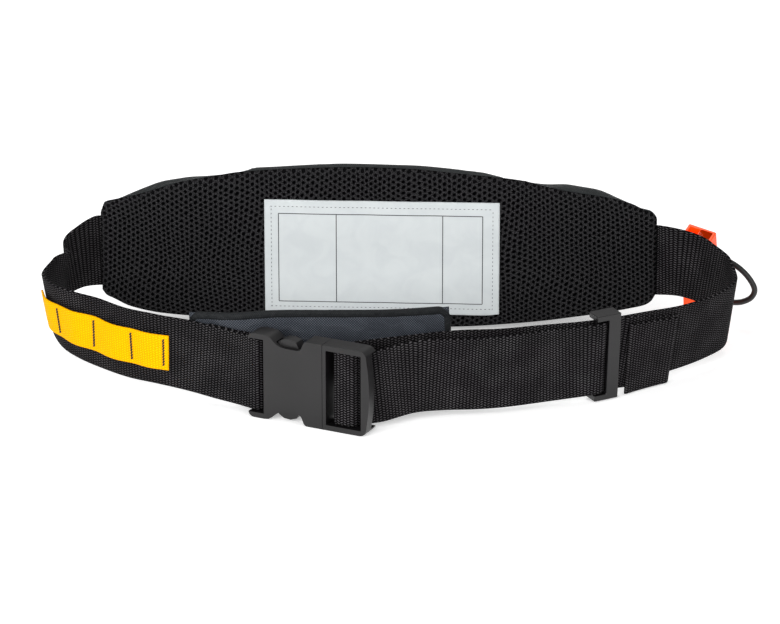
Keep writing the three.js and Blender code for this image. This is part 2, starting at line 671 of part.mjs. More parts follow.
// The socket's outline has a rounded bar end and a finger cut at its top and bottom.
function socketOutline() {
  const cut = { from: SOCKET_LENGTH * 0.22, to: SOCKET_LENGTH * 0.79 };
  const entry = SOCKET_LENGTH * 0.3; // run of the slope at the bar's end
  const exit = SOCKET_LENGTH * 0.12; // run of the slope at the plug's end
  const corner = 5;
  const half = BUCKLE_HEIGHT / 2;
  const lower = (shape, sign) => {
    const z = (depth) => half + sign * (half - depth);
    const slopes = [
      [cut.from, cut.from + entry / 2, cut.from + entry / 3, cut.from + entry],
      [cut.to - exit, cut.to - exit / 3, cut.to - exit / 2, cut.to],
    ];
    const [[a, ac, bc, b], [c, cc, dc, d]] =
      sign < 0 ? slopes : [slopes[1].toReversed(), slopes[0].toReversed()];
    shape.lineTo(a, z(0));
    shape.bezierCurveTo(ac, z(0), bc, z(RELEASE_CUT), b, z(RELEASE_CUT));
    shape.lineTo(c, z(RELEASE_CUT));
    shape.bezierCurveTo(cc, z(RELEASE_CUT), dc, z(0), d, z(0));
  };
  const outline = new THREE.Shape();
  outline.moveTo(corner, 0);
  lower(outline, -1);
  outline.lineTo(SOCKET_LENGTH, 0);
  outline.lineTo(SOCKET_LENGTH, BUCKLE_HEIGHT);
  lower(outline, 1);
  outline.lineTo(corner, BUCKLE_HEIGHT);
  outline.quadraticCurveTo(0, BUCKLE_HEIGHT, 0, BUCKLE_HEIGHT - corner);
  outline.lineTo(0, corner);
  outline.quadraticCurveTo(0, 0, corner, 0);
  return outline;
}

const CAVITY_RAIL = 4.2; // wall above and below the cavity of the socket
const CAVITY_HALF = BUCKLE_THICKNESS / 2 - SOCKET_WALL;

function makeSocket() {
  const bodyStart = SOCKET_BAR + SOCKET_SLOT;
  const top = BUCKLE_HEIGHT - BUCKLE_RAIL;
  const reach = BUCKLE_THICKNESS;
  const cavityTop = BUCKLE_HEIGHT - CAVITY_RAIL;
  const body = plate(socketOutline(), BUCKLE_THICKNESS)
    .subtract(block(-1, bodyStart, -reach, reach, BUCKLE_RAIL, top))
    .subtract(
      block(bodyStart + SOCKET_WALL, SOCKET_LENGTH + 1, -CAVITY_HALF, CAVITY_HALF, CAVITY_RAIL, cavityTop),
    )
    .add(roundBar(0, SOCKET_BAR, BUCKLE_RAIL - 1, top + 1));
  return named("buckle_socket", geometryOf(body), plasticFinish);
}

// The plug's frame, seen from the front, with a bowed end.
function plugOutline() {
  const corner = 6;
  const bow = 2;
  const end = BUCKLE_LENGTH - bow;
  const outline = new THREE.Shape();
  outline.moveTo(PLUG_START, 0);
  outline.lineTo(end - corner, 0);
  outline.quadraticCurveTo(end, 0, end, corner);
  outline.quadraticCurveTo(end + 2 * bow, BUCKLE_HEIGHT / 2, end, BUCKLE_HEIGHT - corner);
  outline.quadraticCurveTo(end, BUCKLE_HEIGHT, end - corner, BUCKLE_HEIGHT);
  outline.lineTo(PLUG_START, BUCKLE_HEIGHT);
  return outline;
}

// One release arm, from the shoulder into the socket, with a knob that fills the finger cut.
function armOutline(upper) {
  const shares = [
    [1, 0.293, PLUG_START + 1],
    [1, 0.207, PLUG_START + 1],
    [0.76, 0.19],
    [0.72, 0.17],
    [0.67, 0.12],
    [0.63, 0.05],
    [0.55, 0.025],
    [0.46, 0.03],
    [0.39, 0.07],
    [0.37, 0.14],
    [0.37, 0.207],
    [0.42, 0.25],
    [0.68, 0.284],
    [0.85, 0.293],
  ];
  const points = shares.map(([along, down, x = along * SOCKET_LENGTH]) => {
    const depth = down * BUCKLE_HEIGHT;
    return new THREE.Vector2(x, upper ? BUCKLE_HEIGHT - depth : depth);
  });
  return new THREE.Shape(points);
}

function makePlug() {
  const top = BUCKLE_HEIGHT - BUCKLE_RAIL;
  const reach = BUCKLE_THICKNESS;
  const fit = 2 * (CAVITY_HALF - GAP);
  const middle = BUCKLE_HEIGHT / 2;
  const body = plate(plugOutline(), BUCKLE_THICKNESS)
    .subtract(block(PLUG_WINDOW, END_BAR, -reach, reach, BUCKLE_RAIL, top))
    .subtract(block(END_BAR - 1, BUCKLE_LENGTH + 3, 0.6, reach, BUCKLE_RAIL, top))
    .add(roundBar(PLUG_BAR_START, PLUG_BAR_START + PLUG_BAR, BUCKLE_RAIL - 1, top + 1))
    .add(plate(armOutline(true), fit))
    .add(plate(armOutline(false), fit))
    .add(block(SOCKET_LENGTH * 0.6, PLUG_START + 1, -fit / 2 + 1, fit / 2 - 1, middle - 6, middle + 6));
  return named("buckle_plug", geometryOf(body), plasticFinish);
}

// The slide, in the frame of the main strap where it sits: x towards the bend, y inwards.
function makeSlide() {
  const half = SLIDE_BAR / 2;
  const clear = 1.2;
  const low = -clear;
  const high = WEBBING_WIDTH + clear;
  const first = SLOT_END - SLIDE_BACK_BAR;
  const bar = SLIDE_BAR_THICKNESS;
  const level = (out) => [-out - bar, -out];
  const behind = -FIRST_LAYER - STRAP_BOW - bar;
  const front = SECOND_LAYER + bar;
  const ends = [low - SLIDE_RAIL, high + SLIDE_RAIL];
  const [visible0, visible1] = level(SECOND_LAYER);
  const [back0, back1] = level(FIRST_LAYER);
  const [hidden0, hidden1] = level(behind);
  let body = block(-half, half, visible0, visible1, low - 1, high + 1)
    .add(block(first, SLOT_END, back0, back1, low - 1, high + 1))
    .add(block(SLOT_END + 0.3, SLOT_END + 0.3 + SLIDE_BACK_BAR, hidden0, hidden1, low - 1, high + 1));
  for (const z of [ends[0], high])
    body = body.add(block(first, half, -front, -behind, z, z + SLIDE_RAIL));
  const frame = mainAt(0);
  const right = frame.along.clone().negate();
  const mesh = named("webbing_slide", geometryOf(body), plasticFinish);
  mesh.matrixAutoUpdate = false;
  mesh.matrix.makeBasis(right, frame.out.clone().negate(), frame.up).setPosition(frame.point);
  return mesh;
}

function makePad() {
  const { frames } = strapFrames(stationsOf(PAD_ROUTE), 1, 3);
  return named("buckle_pad", band(frames, PAD_HEIGHT, PAD_THICKNESS), nylonFinish);
}

// The whistle and its keeper hang upright on the right strap's outer face: x level in the
// strap's plane, y outwards, z up.
const WHISTLE_FRONT = WEBBING_THICKNESS / 2 + 4 * GAP;
const WHISTLE_WAIST = 1.1 * WHISTLE_WIDTH;

function onStrap(name, body, material) {
  const frame = rightMain.frameAt(WHISTLE_PLACE);
  const mesh = named(name, geometryOf(body), material);
  const upright = UP.clone().addScaledVector(frame.out, -UP.dot(frame.out)).normalize();
  const across = frame.out.clone().cross(upright);
  mesh.matrixAutoUpdate = false;
  mesh.matrix.makeBasis(across, frame.out, upright).setPosition(frame.point);
  return mesh;
}

function makeWhistle() {
  const top = WEBBING_WIDTH + WHISTLE_RISE;
  const low = top - WHISTLE_LENGTH;
  const mouth = WHISTLE_WIDTH / 2;
  const waist = WHISTLE_WAIST / 2;
  const uncut = top + WHISTLE_WIDTH / 4;
  const outline = new THREE.Shape();
  outline.moveTo(-mouth, uncut);
  outline.lineTo(-waist, top - WHISTLE_LENGTH * 0.3);
  outline.lineTo(-waist, low + mouth * 0.4);
  outline.quadraticCurveTo(-waist, low, -mouth * 0.7, low);
  outline.lineTo(mouth * 0.7, low);
  outline.quadraticCurveTo(waist, low, waist, low + mouth * 0.4);
  outline.lineTo(waist, top - WHISTLE_LENGTH * 0.3);
  outline.lineTo(mouth, uncut);
  const back = WHISTLE_FRONT + WHISTLE_THICKNESS;
  const middle = (WHISTLE_FRONT + back) / 2;
  let body = plate(outline, WHISTLE_THICKNESS).translate([0, middle, 0]);
  const chamber = (WHISTLE_WIDTH - 3 * WHISTLE_WALL) / 2;
  for (const side of [-1, 1]) {
    const near = (side * WHISTLE_WALL) / 2;
    const far = near + side * chamber;
    body = body.subtract(
      block(
        Math.min(near, far), Math.max(near, far),
        WHISTLE_FRONT + WHISTLE_WALL, back - WHISTLE_WALL,
        top - WHISTLE_CHAMBER, uncut + 1,
      ),
    );
  }
  const across = new THREE.Vector3(-MOUTH_SLANT.side, MOUTH_SLANT.back, -1).normalize();
  body = body.trimByPlane(across.toArray(), across.dot(new THREE.Vector3(0, middle, top)));
  return onStrap("whistle", body, orangeFinish);
}

function makeKeeper() {
  const inner = WHISTLE_WAIST / 2 + GAP;
  const outer = inner + KEEPER_WALL;
  const ear = outer + 5;
  const floor = WEBBING_THICKNESS / 2 + GAP;
  const inside = WHISTLE_FRONT + WHISTLE_THICKNESS + GAP;
  const half = [
    [inner, inside],
    [inner, floor],
    [ear, floor],
    [ear, floor + KEEPER_WALL],
    [outer, floor + KEEPER_WALL],
    [outer, inside],
    [outer - 2, inside + KEEPER_WALL],
  ];
  const path = [...half, ...half.map(([x, y]) => [-x, y]).reverse()];
  const outline = new THREE.Shape(path.map(([x, y]) => new THREE.Vector2(x, y)));
  const body = new THREE.ExtrudeGeometry(outline, { depth: KEEPER_HEIGHT, bevelEnabled: false });
  body.translate(0, 0, (WEBBING_WIDTH - KEEPER_HEIGHT) / 2 - 4);
  return onStrap("whistle_keeper", solid(body), webbingFinish);
}

function makeLoopCord() {
  const points = LOOP_CORD_ROUTE.map(([x, y, z]) => new THREE.Vector3(PANEL_LENGTH / 2 + x, y, z));
  const route = new THREE.CatmullRomCurve3(points, false, "centripetal");
  const section = new THREE.Shape().absarc(0, 0, LOOP_CORD / 2, 0, 2 * Math.PI);
  const settings = { steps: 48, extrudePath: route, curveSegments: 4, bevelEnabled: false };
  const body = new THREE.ExtrudeGeometry(section, settings);
  return named("lanyard_loop", geometryOf(solid(body)), rubberFinish);
}

// The whole pack. The buckle's halves stand in the buckle's own frame.
const pack = new THREE.Group();
buckleFrame.add(makeSocket(), makePlug());
pack.add(
  makeCover(), makePanel(), makeLabel(), makeLeftStrap(), makeRightStrap(), makeStrip(),
  buckleFrame, makeSlide(), makePad(), makeWhistle(), makeKeeper(),
);
pack.updateMatrixWorld(true);
const extent = new THREE.Box3().setFromObject(pack, true);
const middle = extent.getCenter(new THREE.Vector3());
pack.add(makeLoopCord());
pack.position.set(-middle.x, -middle.y, -extent.min.z);

const root = new THREE.Group();
root.add(pack);
export default root;
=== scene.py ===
"""The looks of the inflatable belt pack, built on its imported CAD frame.

The tables of stations and sizes repeat those of the part's source, in millimetres, so that each
dressed piece lies where its solid lies. Every new surface is worked out with numpy on a grid.
"""
import json
import logging
import math
from contextlib import contextmanager
from dataclasses import dataclass, field
from enum import Enum
from typing import Callable, Iterator

import bmesh
import bpy
import numpy as np
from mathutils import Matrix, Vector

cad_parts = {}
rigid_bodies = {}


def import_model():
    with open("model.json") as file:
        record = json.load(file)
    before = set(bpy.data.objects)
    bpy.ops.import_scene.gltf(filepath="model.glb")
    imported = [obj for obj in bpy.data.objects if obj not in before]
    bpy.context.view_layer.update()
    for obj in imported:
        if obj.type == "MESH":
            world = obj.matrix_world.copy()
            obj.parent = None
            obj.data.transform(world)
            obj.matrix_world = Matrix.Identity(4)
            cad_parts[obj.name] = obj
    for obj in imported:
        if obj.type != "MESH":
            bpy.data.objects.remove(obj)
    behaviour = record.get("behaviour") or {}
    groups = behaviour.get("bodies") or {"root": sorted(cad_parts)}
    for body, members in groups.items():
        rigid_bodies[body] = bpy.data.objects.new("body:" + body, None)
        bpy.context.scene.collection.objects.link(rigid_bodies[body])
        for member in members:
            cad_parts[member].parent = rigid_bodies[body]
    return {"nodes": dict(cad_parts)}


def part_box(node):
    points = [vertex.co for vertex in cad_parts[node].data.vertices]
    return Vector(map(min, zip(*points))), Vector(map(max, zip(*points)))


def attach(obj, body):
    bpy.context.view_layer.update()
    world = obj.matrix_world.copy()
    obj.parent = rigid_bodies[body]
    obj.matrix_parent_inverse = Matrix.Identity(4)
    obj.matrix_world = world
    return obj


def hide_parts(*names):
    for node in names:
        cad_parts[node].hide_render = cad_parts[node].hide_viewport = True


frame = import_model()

for left_over in [o for o in bpy.data.objects if o.name in ("Cube", "Light", "Camera")]:
    bpy.data.objects.remove(left_over)
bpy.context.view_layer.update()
LOG = logging.getLogger("belt_pack")
MM = 0.001
BODY = "root"
UP = np.array([0.0, 0.0, 1.0])

Piece = bpy.types.Object
Socket = bpy.types.NodeSocket


class Slot(Enum):
    """Material slots of the record."""

    NYLON = "cover_nylon"
    MESH = "spacer_mesh"
    LABEL = "label"
    WEBBING = "webbing"
    YELLOW = "yellow_webbing"
    BUCKLE = "buckle_plastic"
    WHISTLE = "whistle_plastic"
    RUBBER = "rubber"


class Seed(Enum):
    """Seeds of the random waves, one for each use."""

    PLEATS = 11
    SWELLS = 12
    PANEL_LUMPS = 21
    LABEL_LUMPS = 31
    LABEL_RIM = 33
    STRAP_RIPPLE = 41
    PAD_LUMPS = 51
    BINDING_WOBBLE = 61


# Sizes of the pack


@dataclass(frozen=True)
class PackSizes:
    """Named sizes of the whole pack, in millimetres, as in the part's source."""

    gap: float = 0.3
    webbing_width: float = 50.0
    webbing_thickness: float = 2.0
    strap_tuck: float = 18.0
    panel_length: float = 377.0
    panel_height: float = 115.0
    panel_lift: float = 3.0
    panel_edge: float = 3.0
    panel_crown: float = 6.0
    pouch_depth: float = 62.0
    loop_half_width: float = 235.0
    loop_depth: float = 190.0
    buckle_length: float = 88.0
    buckle_rail: float = 3.5
    webbing_play: float = 0.5
    buckle_yaw: float = math.radians(-26.5)
    socket_length: float = 54.0


SIZES = PackSizes()

# along, top, bottom, depth, puff, sag: sections of the pouch from its left end to its right.
POUCH_SECTIONS = np.array([
    [0.0, 0.72, 0.24, 0.15, 0.0, 0.0],
    [0.008, 0.775, 0.205, 0.24, 0.01, 0.0],
    [0.02, 0.797, 0.185, 0.34, 0.01, 0.0],
    [0.05, 0.817, 0.135, 0.52, 0.03, 0.02],
    [0.1, 0.864, 0.095, 0.7, 0.05, 0.05],
    [0.15, 0.913, 0.077, 0.8, 0.01, 0.08],
    [0.2, 0.942, 0.065, 0.87, -0.05, 0.1],
    [0.25, 0.97, 0.052, 0.93, -0.13, 0.12],
    [0.35, 0.991, 0.03, 0.98, -0.19, 0.12],
    [0.45, 1.0, 0.009, 1.0, -0.2, 0.12],
    [0.55, 0.99, 0.0, 1.0, -0.2, 0.12],
    [0.65, 0.957, 0.005, 0.98, -0.17, 0.12],
    [0.75, 0.92, 0.026, 0.94, -0.08, 0.12],
    [0.8, 0.878, 0.042, 0.9, -0.01, 0.1],
    [0.85, 0.843, 0.064, 0.83, 0.05, 0.08],
    [0.9, 0.818, 0.087, 0.72, 0.03, 0.05],
    [0.95, 0.778, 0.117, 0.52, -0.01, 0.02],
    [0.98, 0.73, 0.14, 0.34, 0.0, 0.0],
    [0.992, 0.715, 0.165, 0.24, 0.0, 0.0],
    [1.0, 0.68, 0.21, 0.15, 0.0, 0.0],
])

# across, forward, hem, lean: stations of a strap's lower edge.
LEFT_ROUTE = np.array([
    [-0.859, 0.006, 0.28, -15],
    [-0.914, 0.05, 0.24, -23],
    [-0.94, 0.14, 0.184, -6],
    [-0.927, 0.245, 0.13, 11],
    [-0.896, 0.337, 0.1, 11],
    [-0.846, 0.42, 0.087, 7],
    [-0.78, 0.5, 0.078, 3],
    [-0.698, 0.58, 0.07, 4],
    [-0.611, 0.644, 0.07, 4],
    [-0.526, 0.698, 0.061, 1],
])
RIGHT_ROUTE = np.array([
    [0.872, 0.01, 0.226, -6],
    [0.936, 0.05, 0.2, -8],
    [0.982, 0.12, 0.155, -2],
    [0.996, 0.21, 0.108, 5],
    [0.983, 0.292, 0.08, 10],
    [0.927, 0.375, 0.065, 13],
    [0.834, 0.48, 0.057, 12],
    [0.734, 0.568, 0.054, 8],
    [0.641, 0.655, 0.054, 3.5],
    [0.557, 0.697, 0.052, 2],
    [0.502, 0.711, 0.05, 2],
    [0.426, 0.734, 0.05, 2],
    [0.336, 0.763, 0.05, 2],
    [0.209, 0.779, 0.05, 2],
    [0.06, 0.832, 0.045, 1],
])
OUTER_ROUTE = np.array([
    [0.101, 0.897, 0.057, 1],
    [0.184, 0.865, 0.052, 3],
    [0.267, 0.847, 0.045, 3],
    [0.35, 0.823, 0.043, 2],
    [0.476, 0.766, 0.043, 1],
])
PAD_ROUTE = np.array([
    [-0.51, 0.682, 0.048, 0],
    [-0.465, 0.705, 0.055, 0],
    [-0.4, 0.735, 0.07, 0],
    [-0.28, 0.742, 0.09, 0],
    [-0.13, 0.748, 0.095, 0],
    [0.04, 0.742, 0.095, 0],
    [0.15, 0.726, 0.1, 0],
    [0.205, 0.715, 0.105, 0],
])
STRIP_TACKS = np.array([5.95, 7.28, 8.85, 10.22, 11.36])
SLIDE_PLACE = 0.648
# Route of the rubber loop, x measured from the pouch's right end.
LOOP_CORD_ROUTE = np.array([
    [1.1, 5.6, 57],
    [5.5, 6.2, 57],
    [15, 12, 56.5],
    [24, 16.5, 55],
    [34, 16, 52.5],
    [46, 12, 48.5],
    [57, 8, 43],
    [64.5, 6, 35.5],
    [68, 5, 28],
    [66, 5.5, 22.5],
    [59.5, 7, 18.6],
    [50, 12, 16.8],
    [38, 18, 16.5],
    [26, 21, 19],
    [16, 19.5, 23],
    [10, 14, 27],
    [5.7, 7.6, 30.2],
    [1.1, 5.4, 31],
])


def layout_shift() -> np.ndarray:
    """Gives the way from the source's layout to the row frame, read off the mesh panel's box.

    The panel is centred on the layout's x = 0 and its back lies one gap in front of y = 0.

    Returns:
        The shift in millimetres.
    """
    low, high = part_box("mesh_back_panel")
    return np.array([(low.x + high.x) / 2, high.y + SIZES.gap * MM, 0.0]) / MM


SHIFT = layout_shift()


# Curves and surfaces


def eased_table(xs: np.ndarray, ys: np.ndarray, at: np.ndarray) -> np.ndarray:
    """Reads a table along a smooth curve that never overshoots its rows.

    Between two rows it is the cubic whose slope at each row is the harmonic mean of the slopes
    on both sides, or zero where they differ in sign.

    Args:
        xs: rising places of the rows.
        ys: values at the rows.
        at: places to read.

    Returns:
        The values at those places.
    """
    steps = np.diff(xs)
    slopes = np.diff(ys) / steps
    inner = np.zeros(len(xs))
    product = slopes[:-1] * slopes[1:]
    total = slopes[:-1] + slopes[1:]
    same = product > 0
    inner[1:-1][same] = 2 * product[same] / total[same]
    inner[0], inner[-1] = slopes[0], slopes[-1]
    i = np.clip(np.searchsorted(xs, at, side="right") - 1, 0, len(xs) - 2)
    t = (at - xs[i]) / steps[i]
    h00 = (1 + 2 * t) * (1 - t) ** 2
    h10 = t * (1 - t) ** 2
    h01 = t * t * (3 - 2 * t)
    h11 = t * t * (t - 1)
    return h00 * ys[i] + h10 * steps[i] * inner[i] + h01 * ys[i + 1] + h11 * steps[i] * inner[i + 1]


def curve_through(points: np.ndarray, share: np.ndarray) -> tuple[np.ndarray, np.ndarray]:
    """Follows a centripetal Catmull-Rom curve, the one that the part's source uses.

    Each span is the cubic with the end points p1 and p2, and end slopes from the neighbouring
    points weighted by the square roots of their distances.

    Args:
        points: stations, one row each.
        share: places from 0 to 1, counted evenly over the spans.

    Returns:
        The points and the unit directions there.
    """
    padded = np.vstack([2 * points[0] - points[1], points, 2 * points[-1] - points[-2]])
    spans = len(points) - 1
    i = np.clip(np.floor(share * spans).astype(int), 0, spans - 1)
    t = (share * spans - i)[:, None]
    p0, p1, p2, p3 = (padded[i + k] for k in range(4))
    d0, d1, d2 = (
        np.sqrt(np.linalg.norm(b - a, axis=1))[:, None] for a, b in ((p0, p1), (p1, p2), (p2, p3))
    )
    m1 = ((p1 - p0) / d0 - (p2 - p0) / (d0 + d1) + (p2 - p1) / d1) * d1
    m2 = ((p2 - p1) / d1 - (p3 - p1) / (d1 + d2) + (p3 - p2) / d2) * d1
    c2 = 3 * (p2 - p1) - 2 * m1 - m2
    c3 = 2 * (p1 - p2) + m1 + m2
    where = p1 + m1 * t + c2 * t**2 + c3 * t**3
    way = m1 + 2 * c2 * t + 3 * c3 * t**2
    return where, way / np.linalg.norm(way, axis=1, keepdims=True)


@dataclass
class Route:
    """A strap's course: the stations of its lower edge and the lean at each, in the layout."""

    points: np.ndarray
    leans: np.ndarray
    side: int

    def frames(self, share: np.ndarray) -> "Frames":
        """Places frames along the course.

        The level direction is straight up less its part along the course; the outward one is
        across both, and the pair is turned by the lean about the course.

        Args:
            share: places from 0 to 1.

        Returns:
            The frames there.
        """
        point, along = curve_through(self.points, share)
        spans = len(self.points) - 1
        lean = np.radians(eased_table(np.arange(spans + 1.0), self.leans, share * spans))[:, None]
        level = UP - along * along[:, 2:3]
        level /= np.linalg.norm(level, axis=1, keepdims=True)
        away = np.cross(along, level) * self.side
        up = level * np.cos(lean) + away * np.sin(lean)
        out = away * np.cos(lean) - level * np.sin(lean)
        return Frames(point, along, up, out, share * spans)

    def even(self, steps: int) -> "Frames":
        """Places the same number of frames on every span."""
        spans = len(self.points) - 1
        return self.frames(np.linspace(0, 1, spans * steps + 1))


@dataclass
class Frames:
    """Frames along a course: point, along, up across the width, outward, and station number."""

    point: np.ndarray
    along: np.ndarray
    up: np.ndarray
    out: np.ndarray
    station: np.ndarray

    @property
    def run(self) -> np.ndarray:
        """Length from the first frame, in millimetres."""
        steps = np.linalg.norm(np.diff(self.point, axis=0), axis=1)
        return np.concatenate([[0.0], np.cumsum(steps)])

    def at(self, lift: np.ndarray, offset: np.ndarray) -> np.ndarray:
        """Points at a height up the frames and a distance outwards: arrays of frames by columns."""
        return (
            self.point[:, None]
            + self.up[:, None] * lift[..., None]
            + self.out[:, None] * offset[..., None]
        )


def stations(route: np.ndarray) -> tuple[np.ndarray, np.ndarray]:
    """Turns a table of shares into points and leans in the layout."""
    scale = np.array([SIZES.loop_half_width, -SIZES.loop_depth, SIZES.panel_height])
    return route[:, :3] * scale, route[:, 3].astype(float)


def tuck_stations(side: int, hem_share: float) -> np.ndarray:
    """Gives the first stations of a strap, sewn in between panel and cover."""
    end = side * SIZES.panel_length / 2
    xs = np.array([end - side * SIZES.strap_tuck, end - side * SIZES.strap_tuck / 2, end + side])
    y = SIZES.gap + SIZES.webbing_thickness / 2
    hem = hem_share * SIZES.panel_height
    return np.stack([xs, np.full(3, y), np.full(3, hem)], axis=1)


def on_buckle(rows: np.ndarray) -> np.ndarray:
    """Moves points from the buckle's frame (x, outwards, z) to the layout."""
    cos, sin = math.cos(SIZES.buckle_yaw), math.sin(SIZES.buckle_yaw)
    x, y, z = rows[:, 0], -rows[:, 1], rows[:, 2]
    place = np.array([-0.347 * SIZES.loop_half_width, -0.806 * SIZES.loop_depth, 0.0])
    return place + np.stack([x * cos - y * sin, x * sin + y * cos, z], axis=1)


def turn_round(x: float, side: int, start: float, end: float, radius: float, count: int) -> np.ndarray:
    """Gives points of webbing turning round a bar's edge: a circle's arc in the buckle's frame."""
    angle = np.linspace(start, end, count + 1)
    return np.stack([x + side * radius * np.cos(angle), radius * np.sin(angle)], axis=1)


@dataclass(frozen=True)
class Hardware:
    """Sizes of the buckle and slide that the webbing runs round, in millimetres."""

    bar_thickness: float = 4.4
    socket_bar: float = 6.0
    plug_bar: float = 13.0
    plug_shoulder: float = 2.5
    plug_bar_gap: float = 5.2
    plug_end_bar: float = 6.0
    slide_bar: float = 9.0
    slide_back_bar: float = 4.0
    slide_slot: float = 5.0
    slide_bar_thickness: float = 2.6
    tail_run: float = 48.0
    tail_fold: float = 37.0
    tail_drop: float = 5.0

    @property
    def bar_turn(self) -> float:
        """Radius of the webbing's middle round a bar."""
        return self.bar_thickness / 2 + SIZES.gap + SIZES.webbing_thickness / 2

    @property
    def layer(self) -> float:
        """Half the distance between two layers of webbing."""
        return SIZES.webbing_thickness / 2 + SIZES.gap / 2 + 0.2

    @property
    def hem(self) -> float:
        """Height of the webbing's lower edge in the buckle."""
        return SIZES.buckle_rail + SIZES.webbing_play


HARDWARE = Hardware()


def left_course() -> Route:
    """Builds the left strap's course, with its turn round the socket's bar."""
    h = HARDWARE
    turn = h.bar_turn
    edge = h.socket_bar - h.bar_thickness / 2
    round_bar = turn_round(edge, 1, math.pi / 2, -math.pi / 2, turn, 6)
    local = np.array(
        [[-26, h.layer, 1.5], [-13, h.layer + 0.1, 0.6], [-5, turn - 1.2, 0.2]]
        + [[x, out, 0] for x, out in round_bar]
        + [[-5, 1.2 - turn, 0.2], [-13, -h.layer - 0.1, 0.6], [-26, -h.layer, 1.5],
           [-35, -h.layer - 0.2, 2]]
    )
    local[:, 2] += h.hem
    main, leans = stations(LEFT_ROUTE)
    points = np.vstack([tuck_stations(-1, 0.287), main, on_buckle(local)])
    return Route(points, np.concatenate([np.zeros(3), leans, np.zeros(len(local))]), 1)


def right_main() -> Route:
    """Builds the right strap's inner layer, from the pouch to the buckle."""
    main, leans = stations(RIGHT_ROUTE)
    points = np.vstack([tuck_stations(1, 0.226), main])
    return Route(points, np.concatenate([np.zeros(3), leans]), -1)


def tail_course(main: Route) -> tuple[np.ndarray, np.ndarray]:
    """Builds the tail's stations: through the slide, on to the fold and back.

    Args:
        main: the inner layer, whose frames carry the slide and the tail.

    Returns:
        The points and the leans.
    """
    h, gap, thick = HARDWARE, SIZES.gap, SIZES.webbing_thickness
    first = thick / 2 + gap
    under = first + thick / 2
    over = first + h.slide_bar_thickness + 2 * gap + thick / 2 + 0.2
    fold_out = first + thick + gap + thick / 2 + 0.1
    slot_end = -h.slide_bar / 2 - h.slide_slot
    middle, radius = (under + fold_out) / 2, (fold_out - under) / 2
    rows = np.array([
        [slot_end - h.slide_back_bar - 5, over - 0.5, 0, -1],
        [slot_end - h.slide_back_bar / 2, over, 0, -1],
        [slot_end + 0.4, over - 0.2, 0, -1],
        [slot_end + 0.42 * h.slide_slot, (over + under) / 2, 0, -1],
        [-h.slide_bar / 2 - 0.6, under, 0, -1],
        [0, under, 0, -1],
        [h.slide_bar / 2, under, 0.05, -1],
        [h.tail_run * 0.45, under, 0.5, -1],
        [h.tail_run * 0.8, under, 0.9, -1],
        [h.tail_run - radius, under, 1, -1],
        [h.tail_run, middle, 1, 0],
        [h.tail_run - radius, fold_out, 1, 1],
        [h.tail_run * 0.8, fold_out, 1, 1],
        [h.tail_run * 0.5, fold_out, 1.02, 1],
        [h.tail_run - h.tail_fold, fold_out, 1.04, 1],
    ])
    back, out, drop, sign = rows.T
    in_slide = back <= h.slide_bar / 2
    count = 600
    shares = np.linspace(0, 1, count + 1)
    run = main.frames(shares).run
    wanted = run[round(SLIDE_PLACE * count)] - np.where(in_slide, 0, back)
    frames = main.frames(np.interp(wanted, run, shares))
    level = UP - frames.along * frames.along[:, 2:3]
    level /= np.linalg.norm(level, axis=1, keepdims=True)
    away = -np.cross(frames.along, level)
    lean = np.degrees(np.arcsin(np.clip((frames.up * away).sum(1), -1, 1)))
    points = frames.point + frames.out * out[:, None]
    points = points - frames.up * (h.tail_drop * drop)[:, None]
    points = points - frames.along * np.where(in_slide, back, 0)[:, None]
    return points, sign * lean


def right_course(main: Route) -> Route:
    """Builds the right strap's whole course, from the pouch round the plug to the folded tail."""
    h = HARDWARE
    start = SIZES.socket_length + SIZES.gap
    window = start + h.plug_shoulder
    end_bar = SIZES.buckle_length - h.plug_end_bar
    bar = window + h.plug_bar_gap
    left = bar + h.bar_thickness / 2
    right = bar + h.plug_bar - h.bar_thickness / 2
    local = np.array(
        [[left + 1.5, -17, 0.5], [left - 3.4, -11, 0.3], [left - 4, -5, 0.1]]
        + [[x, out, 0] for x, out in turn_round(left, -1, 0, math.pi / 2, h.bar_turn, 4)]
        + [[x, out, 0] for x, out in turn_round(right, 1, math.pi / 2, 0, h.bar_turn, 4)]
        + [[right + h.bar_turn + 2.6, -4.5, 0], [end_bar + 1, -8.6, 0], [end_bar + 6.5, -13, 0.6]]
    )
    local[:, 2] += h.hem
    outer, outer_leans = stations(OUTER_ROUTE)
    tail, tail_leans = tail_course(main)
    points = np.vstack([main.points, on_buckle(local), outer, tail])
    leans = np.concatenate([main.leans, np.zeros(len(local)), -outer_leans, tail_leans])
    return Route(points, leans, -1)


# Meshes


def waves(u: np.ndarray, v: np.ndarray, scale: float, seed: Seed, count: int = 7) -> np.ndarray:
    """Adds up slow sine waves of random direction and phase.

    Each is the sine of a random mix of u and v; the sum is divided so that it stays near 1.

    Args:
        u: first coordinate, in millimetres.
        v: second coordinate, in millimetres.
        scale: mean wavelength, in millimetres.
        seed: seed of the random draws.
        count: how many waves.

    Returns:
        Heights about -1 to 1.
    """
    draw = np.random.default_rng(seed.value)
    total = np.zeros(np.broadcast(u, v).shape)
    for _ in range(count):
        turn, phase = draw.uniform(0, 2 * math.pi, 2)
        pitch = scale * draw.uniform(0.6, 1.6)
        total += np.sin(2 * math.pi * (u * math.cos(turn) + v * math.sin(turn)) / pitch + phase)
    return total / math.sqrt(count) / 1.4


def cloth_uv(along: np.ndarray, across: np.ndarray) -> np.ndarray:
    """Pairs metres along and across for each vertex of a grid whose places are millimetres."""
    return np.stack(np.broadcast_arrays(along, across), axis=-1).reshape(-1, 2) * MM


def signed_power(value: np.ndarray, power: float) -> np.ndarray:
    """Raises the size of a value to a power and keeps its sign."""
    return np.sign(value) * np.abs(value) ** power


